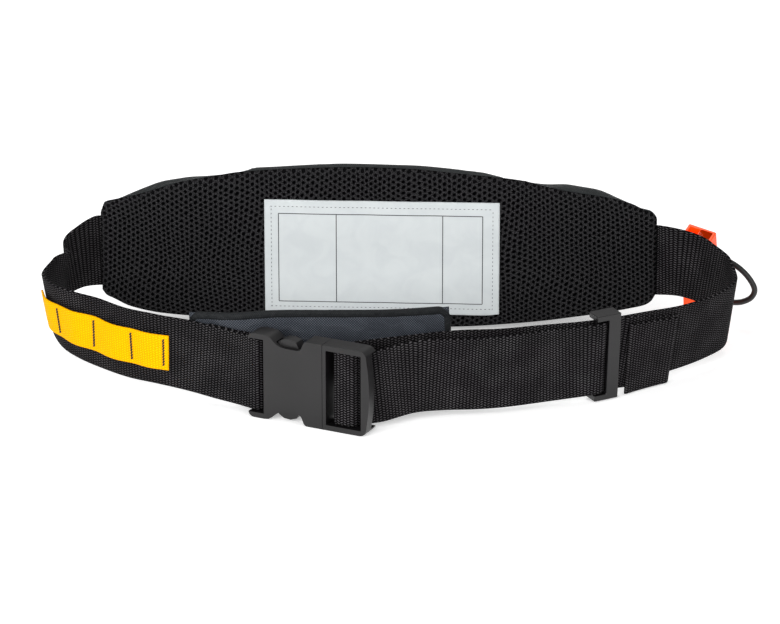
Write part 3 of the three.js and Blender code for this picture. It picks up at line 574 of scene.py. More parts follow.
def new_object(name: str, data: bpy.types.ID | None) -> Piece:
    """Makes an object of the data and puts it in the scene."""
    made = bpy.data.objects.new(name, data)
    bpy.context.scene.collection.objects.link(made)
    return made


@contextmanager
def edited(mesh: bpy.types.Mesh) -> Iterator[bmesh.types.BMesh]:
    """Opens a mesh for editing and writes it back at the end."""
    made = bmesh.new()
    made.from_mesh(mesh)
    yield made
    made.to_mesh(mesh)
    made.free()


def mesh_piece(
    name: str,
    points: np.ndarray,
    faces: list | np.ndarray,
    uv: np.ndarray | None = None,
) -> Piece:
    """Makes a smooth mesh object that rides on the pack.

    Args:
        name: name of the piece.
        points: vertices in the source's layout, in millimetres, one row each.
        faces: vertex numbers of each face.
        uv: metres along and across for each vertex.

    Returns:
        The object, at the origin.
    """
    mesh = bpy.data.meshes.new(name)
    placed = (points + SHIFT) * MM
    mesh.from_pydata(placed.tolist(), [], [list(map(int, f)) for f in faces])
    mesh.polygons.foreach_set("use_smooth", np.ones(len(mesh.polygons), bool))
    if uv is not None:
        corners = np.zeros(len(mesh.loops), int)
        mesh.loops.foreach_get("vertex_index", corners)
        layer = mesh.uv_layers.new(name="Cloth")
        layer.data.foreach_set("uv", uv[corners].astype(np.float32).ravel())
    mesh.update()
    piece = new_object(name, mesh)
    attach(piece, BODY)
    return piece


def grid_faces(
    rows: int, columns: int, close_rows: bool = False, close_columns: bool = False,
) -> np.ndarray:
    """Numbers the four-sided faces of a grid of vertices, optionally closed either way."""
    r = np.arange(rows if close_rows else rows - 1)
    c = np.arange(columns if close_columns else columns - 1)
    r, c = (a.ravel() for a in np.meshgrid(r, c, indexing="ij"))
    r2, c2 = (r + 1) % rows, (c + 1) % columns
    return np.stack([r * columns + c, r * columns + c2, r2 * columns + c2, r2 * columns + c], axis=1)


def add_modifier(piece: Piece, kind: str, **settings: object) -> None:
    """Adds a modifier with its settings."""
    modifier = piece.modifiers.new(kind.title(), kind)
    for name, value in settings.items():
        setattr(modifier, name, value)


def face_outwards(piece: Piece) -> None:
    """Turns a closed mesh's faces outwards, told by the sign of its volume."""
    mesh = piece.data
    co = np.zeros(len(mesh.vertices) * 3)
    mesh.vertices.foreach_get("co", co)
    mesh.calc_loop_triangles()
    tri = np.zeros(len(mesh.loop_triangles) * 3, int)
    mesh.loop_triangles.foreach_get("vertices", tri)
    a, b, c = (co.reshape(-1, 3)[tri.reshape(-1, 3)[:, k]] for k in range(3))
    if (a * np.cross(b, c)).sum() < 0:
        mesh.flip_normals()


def band(
    name: str,
    frames: Frames,
    width: float,
    thickness: float,
    lift: float = 0.0,
    offset: np.ndarray | None = None,
    ripple: Callable[[np.ndarray, np.ndarray], np.ndarray] | None = None,
    columns: int = 13,
) -> Piece:
    """Makes a strap of webbing along frames.

    Its section is a flat oblong with rounded selvedges: the front and back stand half the
    thickness off the middle, and the edge points lie on a half ellipse.

    Args:
        name: name of the piece.
        frames: the course of its lower edge.
        width: width in millimetres.
        thickness: thickness in millimetres.
        lift: height of the lower edge above the frames' points.
        offset: distance outwards at each frame.
        ripple: small distance outwards as a function of run and height, both in millimetres.
        columns: points across each face.

    Returns:
        The strap.
    """
    round_edge = thickness * 0.45
    flat = np.linspace(round_edge, width - round_edge, columns)
    half = thickness / 2
    turn = np.radians([60, 20, -20, -60])
    high_edge = width - round_edge + round_edge * np.cos(turn)
    low_edge = round_edge - round_edge * np.cos(turn[::-1])
    heights = np.concatenate([flat, high_edge, flat[::-1], low_edge])
    edge_out = half * np.sin(turn)
    outs = np.concatenate([np.full(columns, half), edge_out, np.full(columns, -half), edge_out[::-1]])
    run = frames.run
    count, size = len(run), len(heights)
    lifts = np.broadcast_to(heights + lift, (count, size))
    shift = np.zeros(count) if offset is None else offset
    wave = 0.0 if ripple is None else ripple(run[:, None], heights[None, :])
    points = frames.at(lifts, outs[None, :] + shift[:, None] + wave).reshape(-1, 3)
    faces = list(grid_faces(count, size, close_columns=True))
    for start in (0, (count - 1) * size):
        ring = start + np.arange(size)
        half_ring = size // 2
        pairs = [(k, k + 1, size - 2 - k, size - 1 - k) for k in range(half_ring - 1)]
        turned = np.roll(ring, 2)
        faces += [[turned[i] for i in pair] for pair in pairs]
    piece = mesh_piece(name, points, faces, cloth_uv(run[:, None], heights[None, :]))
    weld(piece)
    return piece


def weld(piece: Piece, distance: float = 1e-6) -> None:
    """Merges doubled points and turns all faces outwards."""
    with edited(piece.data) as made:
        bmesh.ops.remove_doubles(made, verts=made.verts, dist=distance)
        bmesh.ops.recalc_face_normals(made, faces=made.faces)
    face_outwards(piece)


def stitches(
    name: str,
    places: np.ndarray,
    ways: np.ndarray,
    outs: np.ndarray,
    length: float,
    thickness: float,
) -> Piece:
    """Makes a row of stitches, each a small spindle that sinks into the cloth at both ends.

    A spindle is five rings of six points: ring k stands at a share t of the length, with radius
    the thickness times the square root of the sine of pi t, and rises outwards in the middle.

    Args:
        name: name of the piece.
        places: middle of each stitch, in millimetres.
        ways: direction of each stitch.
        outs: outward direction at each.
        length: length of a stitch.
        thickness: radius of the thread.

    Returns:
        The stitches as one piece.
    """
    ways = ways / np.linalg.norm(ways, axis=1, keepdims=True)
    outs = outs / np.linalg.norm(outs, axis=1, keepdims=True)
    cross = np.cross(ways, outs)
    t = np.linspace(0, 1, 5)
    radius = thickness * np.sqrt(np.clip(np.sin(np.pi * t), 0.06, 1))
    rise = thickness * (np.sin(np.pi * t) - 0.5)
    turn = np.linspace(0, 2 * np.pi, 6, endpoint=False)
    ring = np.stack([np.cos(turn), np.sin(turn)])
    points = (
        places[:, None, None]
        + ways[:, None, None] * ((t - 0.5) * length)[None, :, None, None]
        + cross[:, None, None] * (radius[:, None] * ring[0])[None, ..., None]
        + outs[:, None, None] * (rise[:, None] + radius[:, None] * ring[1])[None, ..., None]
    )
    count = len(places)
    one = grid_faces(5, 6, close_columns=True)
    tube = (one[None] + 30 * np.arange(count)[:, None, None]).reshape(-1, 4)
    caps = [[30 * i + k for k in range(6)][::-1] for i in range(count)]
    caps += [[30 * i + 24 + k for k in range(6)] for i in range(count)]
    piece = mesh_piece(name, points.reshape(-1, 3), list(tube) + caps)
    face_outwards(piece)
    return piece


# Limits for cleaning a moulded copy: doubled points in metres, and bends that count as flat.
DOUBLED, FLAT = 2e-5, math.radians(3)


def softened_copy(node: str, width: float, angle: float) -> Piece:
    """Copies a moulded CAD node with its edges rounded, to stand in its place.

    Args:
        node: name of the CAD node.
        width: width of the rounding in millimetres.
        angle: least angle between two faces whose edge is rounded, in degrees.

    Returns:
        The rounded copy.
    """
    mesh = frame["nodes"][node].data.copy()
    mesh.materials.clear()
    piece = new_object(node + "_moulded", mesh)
    with edited(mesh) as made:
        bmesh.ops.remove_doubles(made, verts=made.verts, dist=DOUBLED)
        bmesh.ops.dissolve_limit(made, angle_limit=FLAT, verts=made.verts, edges=made.edges)
    mesh.polygons.foreach_set("use_smooth", np.ones(len(mesh.polygons), bool))
    add_modifier(
        piece, "BEVEL", width=width * MM, segments=3, limit_method="ANGLE",
        angle_limit=math.radians(angle), harden_normals=False, miter_outer="MITER_ARC",
    )
    add_modifier(piece, "WEIGHTED_NORMAL", keep_sharp=False)
    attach(piece, BODY)
    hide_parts(node)
    return piece


# Materials


class Board:
    """A node tree with short ways to add and join nodes."""

    def __init__(self, tree: bpy.types.NodeTree) -> None:
        """Keeps the tree."""
        self.tree = tree

    def feed(self, node: bpy.types.Node, inputs: dict) -> None:
        """Sets or joins a node's inputs, given by name or number."""
        for key, value in inputs.items():
            if isinstance(value, Socket):
                self.tree.links.new(value, node.inputs[key])
            else:
                node.inputs[key].default_value = value

    def node(self, kind: str, inputs: dict | None = None, **settings: object) -> bpy.types.Node:
        """Adds a node, sets its properties, and sets or joins its inputs.

        Args:
            kind: the node's type name.
            inputs: values or sockets by input name or number.
            settings: properties of the node.

        Returns:
            The node.
        """
        node = self.tree.nodes.new(kind)
        for name, value in settings.items():
            setattr(node, name, value)
        self.feed(node, inputs or {})
        return node

    def math(self, operation: str, a: object, b: object = 0.5, c: object = 0.5) -> Socket:
        """Adds a Math node and gives its result."""
        return self.node("ShaderNodeMath", {0: a, 1: b, 2: c}, operation=operation).outputs[0]

    def blend(self, share: object, a: object, b: object) -> Socket:
        """Mixes two colours by a share and gives the result."""
        return self.node("ShaderNodeMix", {0: share, 6: a, 7: b}, data_type="RGBA").outputs[2]

    def noise(self, place: Socket, scale: object, detail: float, warp: float = 0.0) -> Socket:
        """Adds a Noise texture at a place and gives its value, which lies about one half."""
        inputs = {"Vector": place, "Scale": scale, "Detail": detail, "Distortion": warp}
        return self.node("ShaderNodeTexNoise", inputs).outputs[0]

    def ramp(self, value: object, low: float, high: float) -> Socket:
        """Maps a value from low..high to 0..1 along a smooth step."""
        node = self.node(
            "ShaderNodeMapRange", {"Value": value, "From Min": low, "From Max": high},
            interpolation_type="SMOOTHSTEP",
        )
        return node.outputs[0]


def shared_group(
    name: str, inputs: dict[str, float | tuple], outputs: tuple[str, ...],
) -> tuple[Board, dict, bpy.types.Node]:
    """Starts a shader node group with named inputs and outputs.

    Args:
        name: name of the group.
        inputs: default of each input; a tuple makes a vector input.
        outputs: names of the outputs, which are numbers.

    Returns:
        The group's board, its input sockets by name, and its output node.
    """
    tree = bpy.data.node_groups.new(name, "ShaderNodeTree")
    for key, value in inputs.items():
        kind = "NodeSocketVector" if isinstance(value, tuple) else "NodeSocketFloat"
        socket = tree.interface.new_socket(key, in_out="INPUT", socket_type=kind)
        socket.default_value = value
    for key in outputs:
        tree.interface.new_socket(key, in_out="OUTPUT", socket_type="NodeSocketFloat")
    start = tree.nodes.new("NodeGroupInput")
    end = tree.nodes.new("NodeGroupOutput")
    return Board(tree), {s.name: s for s in start.outputs if s.name}, end


def weave_group() -> None:
    """Builds the weave of webbing: ribs across the strap, each a column of slanted threads.

    Rib height is the sine of pi times the place in the rib; the threads are a cosine wave across
    the strap whose slant changes from rib to rib, so that neighbouring ribs make chevrons. The
    square of their product is the share of thread that gets the painted highlight.
    """
    b, i, end = shared_group(
        "Webbing weave",
        {"Cloth": (0.0, 0.0, 0.0), "Rib": 0.0023, "Thread": 0.0017, "Slant": 0.5},
        ("Height", "Threads", "Wear"),
    )
    split = b.node("ShaderNodeSeparateXYZ", {0: i["Cloth"]})
    u, v = split.outputs[0], split.outputs[1]
    warp = b.noise(i["Cloth"], 260.0, 2.0)
    nudge = b.math("MULTIPLY_ADD", warp, 0.0006, -0.0003)
    rib = b.math("DIVIDE", b.math("ADD", u, nudge), i["Rib"])
    column = b.math("FLOOR", rib)
    inside = b.math("FRACT", rib)
    parity = b.math("MULTIPLY_ADD", b.math("MODULO", b.math("ABSOLUTE", column), 2.0), 2.0, -1.0)
    slant = b.math("MULTIPLY", b.math("MULTIPLY", parity, i["Slant"]), inside)
    thread = b.math("ADD", b.math("DIVIDE", b.math("ADD", v, nudge), i["Thread"]), slant)
    wave = b.math("MULTIPLY_ADD", b.math("COSINE", b.math("MULTIPLY", thread, 2 * math.pi)), 0.5, 0.5)
    ridge = b.math("POWER", b.math("SINE", b.math("MULTIPLY", inside, math.pi)), 0.6)
    height = b.math("MULTIPLY", ridge, b.math("MULTIPLY_ADD", wave, 0.55, 0.45))
    fuzz = b.noise(i["Cloth"], 2200.0, 3.0)
    patches = b.noise(i["Cloth"], 55.0, 4.0)
    b.feed(end, {
        "Height": b.math("MULTIPLY_ADD", fuzz, 0.18, height),
        "Threads": b.math("POWER", b.math("MULTIPLY", ridge, wave), 2.0),
        "Wear": b.ramp(patches, 0.35, 0.7),
    })


def twill_group() -> None:
    """Builds a plain woven cloth of crossing threads, with soft wrinkles of the coating.

    Each thread is the absolute sine along one diagonal, and warp and weft change over like the
    squares of a board.
    """
    b, i, end = shared_group(
        "Cloth weave",
        {"Cloth": (0.0, 0.0, 0.0), "Pitch": 0.0011, "Wrinkle": 70.0},
        ("Height", "Threads", "Creases"),
    )
    split = b.node("ShaderNodeSeparateXYZ", {0: i["Cloth"]})
    u, v = split.outputs[0], split.outputs[1]
    one = b.math("DIVIDE", b.math("ADD", u, v), i["Pitch"])
    two = b.math("DIVIDE", b.math("SUBTRACT", u, v), i["Pitch"])
    warp = b.math("ABSOLUTE", b.math("SINE", b.math("MULTIPLY", one, math.pi)))
    weft = b.math("ABSOLUTE", b.math("SINE", b.math("MULTIPLY", two, math.pi)))
    threads = b.math("MULTIPLY", warp, weft)
    crease = b.noise(i["Cloth"], i["Wrinkle"], 5.0, 1.2)
    b.feed(end, {
        "Height": threads,
        "Threads": b.math("POWER", threads, 2.0),
        "Creases": b.ramp(crease, 0.3, 0.72),
    })


def mesh_group() -> None:
    """Builds the knitted spacer mesh: round holes on a staggered grid with threads between.

    The distance to the nearest centre of two rectangular grids, one shifted by half a cell both
    ways, is compared with the hole's radius, in shares of the pitch. Slow noise bends the rows of
    holes and fine noise shakes them. The Threads output marks bright flecks on the strands away
    from the holes, partly their own uneven tone and partly painted glints.
    """
    b, i, end = shared_group(
        "Spacer mesh",
        {"Cloth": (0.0, 0.0, 0.0), "Pitch": 0.0037, "Hole": 0.21, "Bend": 0.014, "Shake": 0.0016},
        ("Holes", "Height", "Threads"),
    )
    bend = b.noise(i["Cloth"], 14.0, 1.0)
    jitter = b.noise(i["Cloth"], 240.0, 1.0)
    split = b.node("ShaderNodeSeparateXYZ", {0: i["Cloth"]})
    shaken = b.math("MULTIPLY_ADD", jitter, i["Shake"], b.math("MULTIPLY", bend, i["Bend"]))
    long_pitch = b.math("MULTIPLY", i["Pitch"], math.sqrt(3))
    x = b.math("DIVIDE", b.math("ADD", split.outputs[1], shaken), i["Pitch"])
    y = b.math("DIVIDE", b.math("ADD", split.outputs[0], shaken), long_pitch)

    def nearest(shift: float) -> Socket:
        """Gives the distance to the nearest centre of one grid."""
        dx = b.math("SUBTRACT", b.math("FRACT", b.math("ADD", x, shift)), 0.5)
        dy = b.math("SUBTRACT", b.math("FRACT", b.math("ADD", y, shift)), 0.5)
        tall = b.math("MULTIPLY", dy, math.sqrt(3))
        squares = b.math("ADD", b.math("MULTIPLY", dx, dx), b.math("MULTIPLY", tall, tall))
        return b.math("SQRT", squares)

    distance = b.math("MINIMUM", nearest(0.0), nearest(0.5))
    rim = b.math("SUBTRACT", distance, i["Hole"])
    solid = b.ramp(b.math("MULTIPLY_ADD", jitter, -0.16, b.math("ADD", rim, 0.08)), -0.1, 0.07)
    strand = b.noise(i["Cloth"], 1500.0, 3.0)
    # Bright flecks on the strands away from the holes: partly uneven tone, partly painted glints.
    strand_glint = b.math("MULTIPLY", strand, b.ramp(rim, 0.0, 0.16))
    b.feed(end, {
        "Holes": solid,
        "Height": b.math("MULTIPLY_ADD", strand, 0.16, solid),
        "Threads": b.ramp(strand_glint, 0.35, 0.72),
    })


def grain_group() -> None:
    """Builds the fine grain of moulded parts: small noise for height and slow noise for tone."""
    b, i, end = shared_group(
        "Moulded grain",
        {"Place": (0.0, 0.0, 0.0), "Grain": 2500.0, "Tone": 45.0},
        ("Height", "Tone"),
    )
    fine = b.noise(i["Place"], i["Grain"], 3.0)
    slow = b.noise(i["Place"], i["Tone"], 4.0)
    b.feed(end, {"Height": fine, "Tone": b.ramp(slow, 0.3, 0.7)})


def rgba(red: float, green: float, blue: float) -> tuple[float, float, float, float]:
    """Adds a full alpha to a colour."""
    return (red, green, blue, 1.0)


WHITE = rgba(1.0, 1.0, 1.0)


class Finish:
    """Base of all finishes: makes a material with a shader and a place to read patterns from."""

    @staticmethod
    def start(
        name: str, roughness: float, gloss: float,
    ) -> tuple[bpy.types.Material, Board, bpy.types.Node]:
        """Makes a material.

        Args:
            name: name of the material.
            roughness: roughness of the shader where no pattern feeds it.
            gloss: strength of its reflections.

        Returns:
            The material, its board and its shader node.
        """
        material = bpy.data.materials.new(name)
        material.use_nodes = True
        board = Board(material.node_tree)
        shader = material.node_tree.nodes["Principled BSDF"]
        board.feed(shader, {"Roughness": roughness, "Specular IOR Level": gloss})
        return material, board, shader

    @staticmethod
    def cloth(board: Board) -> Socket:
        """Gives metres along and across a cloth piece."""
        return board.node("ShaderNodeUVMap", uv_map="Cloth").outputs[0]

    @staticmethod
    def place(board: Board) -> Socket:
        """Gives the place in the pack."""
        return board.node("ShaderNodeTexCoord").outputs["Object"]

    @staticmethod
    def placed(board: Board, name: str, inputs: dict) -> bpy.types.Node:
        """Adds the group node, then sets or joins its inputs."""
        node = board.tree.nodes.new("ShaderNodeGroup")
        node.node_tree = bpy.data.node_groups[name]
        board.feed(node, inputs)
        return node

    @staticmethod
    def bump(
        board: Board, shader: bpy.types.Node, height: object, depth: float, under: object = None,
    ) -> None:
        """Feeds a height to the shader's normal, with depth in metres."""
        inputs = {"Height": height, "Distance": depth, "Strength": 1.0}
        if under is not None:
            inputs["Normal"] = under
        bump = board.node("ShaderNodeBump", inputs)
        board.feed(shader, {"Normal": bump.outputs[0]})


@dataclass(frozen=True)
class WebbingFinish(Finish):
    """Ribbed woven webbing, with a painted highlight on its thread crests and painted shade in its
    valleys.
    """

    name: str
    shaded_valley: tuple
    thread: tuple
    worn: tuple
    rib: float = 0.0023
    roughness: float = 0.72
    gloss: float = 0.02
    depth: float = 0.0004

    def make(self) -> bpy.types.Material:
        """Builds the material."""
        material, b, shader = self.start(self.name, self.roughness, self.gloss)
        weave = self.placed(b, "Webbing weave", {"Cloth": self.cloth(b), "Rib": self.rib})
        thread = b.blend(weave.outputs["Wear"], self.thread, self.worn)
        # Painted highlight on the thread crests and painted shade in the valleys between them; the worn
        # colour is real wear.
        color = b.blend(weave.outputs["Threads"], self.shaded_valley, thread)
        b.feed(shader, {"Base Color": color})
        self.bump(b, shader, weave.outputs["Height"], self.depth)
        return material


@dataclass(frozen=True)
class NylonFinish(Finish):
    """Coated woven nylon with small creases, darkened by painted shade."""

    name: str
    dark: tuple
    light: tuple
    pitch: float = 0.0011
    wrinkle: float = 70.0
    roughness: float = 0.5
    gloss: float = 0.15
    depth: float = 0.00012
    crease_depth: float = 0.0012
    crease_shade: float = 0.35
    crease_shine: float = 0.14

    def make(self) -> bpy.types.Material:
        """Builds the material."""
        material, b, shader = self.start(self.name, self.roughness, self.gloss)
        inputs = {"Cloth": self.cloth(b), "Pitch": self.pitch, "Wrinkle": self.wrinkle}
        weave = self.placed(b, "Cloth weave", inputs)
        base = b.blend(weave.outputs["Threads"], self.dark, self.light)
        creases = weave.outputs["Creases"]
        # Painted shade: the creases are blended towards the dark colour.
        color = b.blend(b.math("MULTIPLY", creases, self.crease_shade), base, self.dark)
        least = self.roughness - self.crease_shine / 2
        shine = b.math("MULTIPLY_ADD", creases, self.crease_shine, least)
        b.feed(shader, {"Base Color": color, "Roughness": shine})
        crease = b.node("ShaderNodeBump", {"Height": creases, "Distance": self.crease_depth})
        self.bump(b, shader, weave.outputs["Height"], self.depth, under=crease.outputs[0])
        return material


@dataclass(frozen=True)
class MeshFinish(Finish):
    """Knitted spacer mesh with holes, which close towards the panel's rim; its light strand flecks are
    partly uneven tone and partly painted glints.
    """

    name: str = "Spacer mesh"
    hole: tuple = rgba(0.0006, 0.0006, 0.0008)
    strand: tuple = rgba(0.0040, 0.0039, 0.0043)
    light: tuple = rgba(0.044, 0.043, 0.045)
    pitch: float = 0.0037
    closed_rim: tuple = (2.5, 7.0)
    roughness: float = 0.8
    depth: float = 0.0011

    def make(self) -> bpy.types.Material:
        """Builds the material."""
        material, b, shader = self.start(self.name, self.roughness, 0.0)
        knit = self.placed(b, "Spacer mesh", {"Cloth": self.cloth(b), "Pitch": self.pitch})
        # The light colour on the strand flecks is partly a painted highlight.
        strands = b.blend(knit.outputs["Threads"], self.strand, self.light)
        rim = b.node("ShaderNodeAttribute", attribute_name="Rim").outputs["Fac"]
        inner = b.ramp(rim, *self.closed_rim)
        pierced = b.math("MULTIPLY", b.math("SUBTRACT", 1.0, knit.outputs["Holes"]), inner)
        color = b.blend(b.math("SUBTRACT", 1.0, pierced), self.hole, strands)
        b.feed(shader, {"Base Color": color})
        self.bump(b, shader, knit.outputs["Height"], self.depth)
        return material


@dataclass(frozen=True)
class PlasticFinish(Finish):
    """Moulded plastic with a fine grain."""

    name: str
    dark: tuple
    light: tuple
    roughness: float = 0.45
    gloss: float = 0.45
    shine: float = 0.08
    grain: float = 2500.0
    depth: float = 0.00003
    glow: float = 0.0

    def make(self) -> bpy.types.Material:
        """Builds the material; the glow stands for light that passes through thin walls."""
        material, b, shader = self.start(self.name, self.roughness, self.gloss)
        b.feed(shader, {"Emission Color": self.dark, "Emission Strength": self.glow})
        grain = self.placed(b, "Moulded grain", {"Place": self.place(b), "Grain": self.grain})
        tone = grain.outputs["Tone"]
        shine = b.math("MULTIPLY_ADD", tone, self.shine, self.roughness - self.shine / 2)
        b.feed(shader, {"Base Color": b.blend(tone, self.dark, self.light), "Roughness": shine})
        self.bump(b, shader, grain.outputs["Height"], self.depth)
        return material


@dataclass(frozen=True)
class LabelFinish(Finish):
    """White label cloth with a printed frame of plain rules."""

    name: str = "Label cloth"
    cloth_white: tuple = rgba(0.535, 0.565, 0.57)
    shade: tuple = rgba(0.50, 0.53, 0.54)
    ink: tuple = rgba(0.03, 0.03, 0.032)
    frame_along: tuple = (0.0095, 0.1475)
    frame_up: tuple = (0.0085, 0.0715)
    dividers: tuple = (0.0485, 0.1205)
    half_rule: float = 0.0003
    pitch: float = 0.0008
    wrinkle: float = 60.0
    roughness: float = 0.6
    gloss: float = 0.3
    depth: float = 0.00005

    def make(self) -> bpy.types.Material:
        """Builds the material; the rules are bands of the label's own coordinates."""
        material, b, shader = self.start(self.name, self.roughness, self.gloss)
        cloth = self.cloth(b)
        inputs = {"Cloth": cloth, "Pitch": self.pitch, "Wrinkle": self.wrinkle}
        weave = self.placed(b, "Cloth weave", inputs)
        split = b.node("ShaderNodeSeparateXYZ", {0: cloth})
        u, v = split.outputs[0], split.outputs[1]

        def rule(coordinate: object, at: float, other: object, ends: tuple) -> Socket:
            """Gives 1 on a thin line at a place, between two ends of the other coordinate."""
            away = b.math("ABSOLUTE", b.math("SUBTRACT", coordinate, at))
            near = b.math("LESS_THAN", away, self.half_rule)
            past, short = b.math("GREATER_THAN", other, ends[0]), b.math("LESS_THAN", other, ends[1])
            return b.math("MULTIPLY", near, b.math("MULTIPLY", past, short))

        lines = [rule(u, at, v, self.frame_up) for at in (*self.frame_along, *self.dividers)]
        lines += [rule(v, at, u, self.frame_along) for at in self.frame_up]
        ink = lines[0]
        for line in lines[1:]:
            ink = b.math("MAXIMUM", ink, line)
        base = b.blend(weave.outputs["Creases"], self.cloth_white, self.shade)
        b.feed(shader, {"Base Color": b.blend(ink, base, self.ink)})
        self.bump(b, shader, weave.outputs["Height"], self.depth)
        return material


# Valley colours are painted shade and thread colours painted highlight, lighter still where worn.
BLACK_WEBBING = WebbingFinish(
    "Black webbing", rgba(0.0008, 0.0007, 0.0009), rgba(0.054, 0.051, 0.054), rgba(0.086, 0.082, 0.086),
)
YELLOW_WEBBING = WebbingFinish(
    "Yellow webbing", rgba(0.80, 0.34, 0.0), rgba(0.97, 0.54, 0.0), rgba(0.97, 0.58, 0.002),
    rib=0.0019, roughness=0.6, depth=0.00025,
)
GREY_NYLON = NylonFinish(
    "Grey cover nylon", rgba(0.008, 0.010, 0.0105), rgba(0.032, 0.038, 0.040), roughness=0.5,
)
SLATE_NYLON = NylonFinish(
    "Slate pad nylon", rgba(0.011, 0.013, 0.018), rgba(0.115, 0.130, 0.155), pitch=0.0017,
    crease_depth=0.0006, roughness=0.5,
)
BINDING = NylonFinish(
    "Black binding", rgba(0.006, 0.007, 0.008), rgba(0.024, 0.026, 0.028), pitch=0.0012,
    wrinkle=220.0, crease_depth=0.0005, roughness=0.55,
)
CHARCOAL = PlasticFinish(
    "Charcoal acetal", rgba(0.0040, 0.0036, 0.0040), rgba(0.0058, 0.0052, 0.0058), roughness=0.34,
)
ORANGE = PlasticFinish(
    "Orange plastic", rgba(0.90, 0.055, 0.001), rgba(0.95, 0.07, 0.002), roughness=0.35, glow=0.3,
)
RUBBER = PlasticFinish(
    "Black rubber", rgba(0.006, 0.006, 0.006), rgba(0.012, 0.012, 0.012), roughness=0.42,
)
BLACK_THREAD = PlasticFinish(
    "Black thread", rgba(0.004, 0.004, 0.004), rgba(0.014, 0.013, 0.014), roughness=0.7, depth=0.0001,
)
PALE_THREAD = PlasticFinish(
    "Pale thread", rgba(0.045, 0.050, 0.055), rgba(0.090, 0.098, 0.105), roughness=0.7, depth=0.0001,
)


def dress(piece: Piece, finish: Finish) -> Piece:
    """Gives a piece its finish, made once."""
    material = bpy.data.materials.get(finish.name) or finish.make()
    piece.data.materials.clear()
    piece.data.materials.append(material)
    return piece


# The sub-assemblies


@dataclass
class RubberLoop:
    """The rubber loop beside the whistle."""

    diameter: float = 4.0
    samples: int = 170

    def build(self) -> Piece:
        """Builds the loop as one open curve along the source's route."""
        end = np.array([SIZES.panel_length / 2, 0, 0])
        points, _ = curve_through(LOOP_CORD_ROUTE + end, np.linspace(0, 1, self.samples))
        points = (points + SHIFT) * MM
        data = bpy.data.curves.new("rubber_loop", "CURVE")
        data.dimensions = "3D"
        data.bevel_depth = 1.0
        data.bevel_resolution = 6
        data.use_fill_caps = True
        line = data.splines.new("POLY")
        line.points.add(len(points) - 1)
        line.points.foreach_set("co", np.hstack([points, np.ones((len(points), 1))]).ravel())
        line.points.foreach_set("radius", np.full(len(points), self.diameter / 2 * MM))
        line.use_smooth = True
        loop = new_object("rubber_loop", data)
        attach(loop, BODY)
        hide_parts("lanyard_loop")
        return dress(loop, RUBBER)


def pouch_at(along: np.ndarray) -> dict[str, np.ndarray]:
    """Reads the pouch's section at shares of its length, in millimetres."""
    columns = {"top": 1, "bottom": 2, "depth": 3, "puff": 4, "sag": 5}
    shares = POUCH_SECTIONS[:, 0]
    read = {k: eased_table(shares, POUCH_SECTIONS[:, c], along) for k, c in columns.items()}
    for key in ("top", "bottom"):
        read[key] = SIZES.panel_lift + SIZES.panel_height * read[key]
    for key in ("depth", "puff", "sag"):
        read[key] = SIZES.pouch_depth * read[key]
    return read


# Powers that shape the crown along and up the panel: the higher, the flatter its top.
CROWN_ALONG, CROWN_UP = 6, 3.5


def crown_at(along: np.ndarray, z: np.ndarray) -> np.ndarray:
    """Gives the padding's extra thickness: a flat-topped hill along and up the panel."""
    s = pouch_at(along)
    up = (z - s["bottom"]) / (s["top"] - s["bottom"])
    ends = 1 - np.abs(2 * along - 1) ** CROWN_ALONG
    edges = 1 - np.abs(2 * up - 1) ** CROWN_UP
    return SIZES.panel_crown * np.maximum(0, ends) * np.maximum(0, edges)


def clustered(count: int, power: float = 1.6) -> np.ndarray:
    """Spreads shares from 0 to 1 so that they lie closer together towards both ends."""
    t = np.linspace(-1, 1, count)
    return 0.5 + 0.5 * np.sign(t) * (1 - (1 - np.abs(t)) ** power)


# The cloth simulation's settings that let the cover crumple.
CRUMPLING = {
    "quality": 5,
    "vertex_group_mass": "seam",
    "shrink_min": -0.035,
    "tension_stiffness": 12,
    "compression_stiffness": 12,
    "shear_stiffness": 4,
    "bending_stiffness": 0.4,
    "use_pressure": True,
    "uniform_pressure_force": 1.5,
}


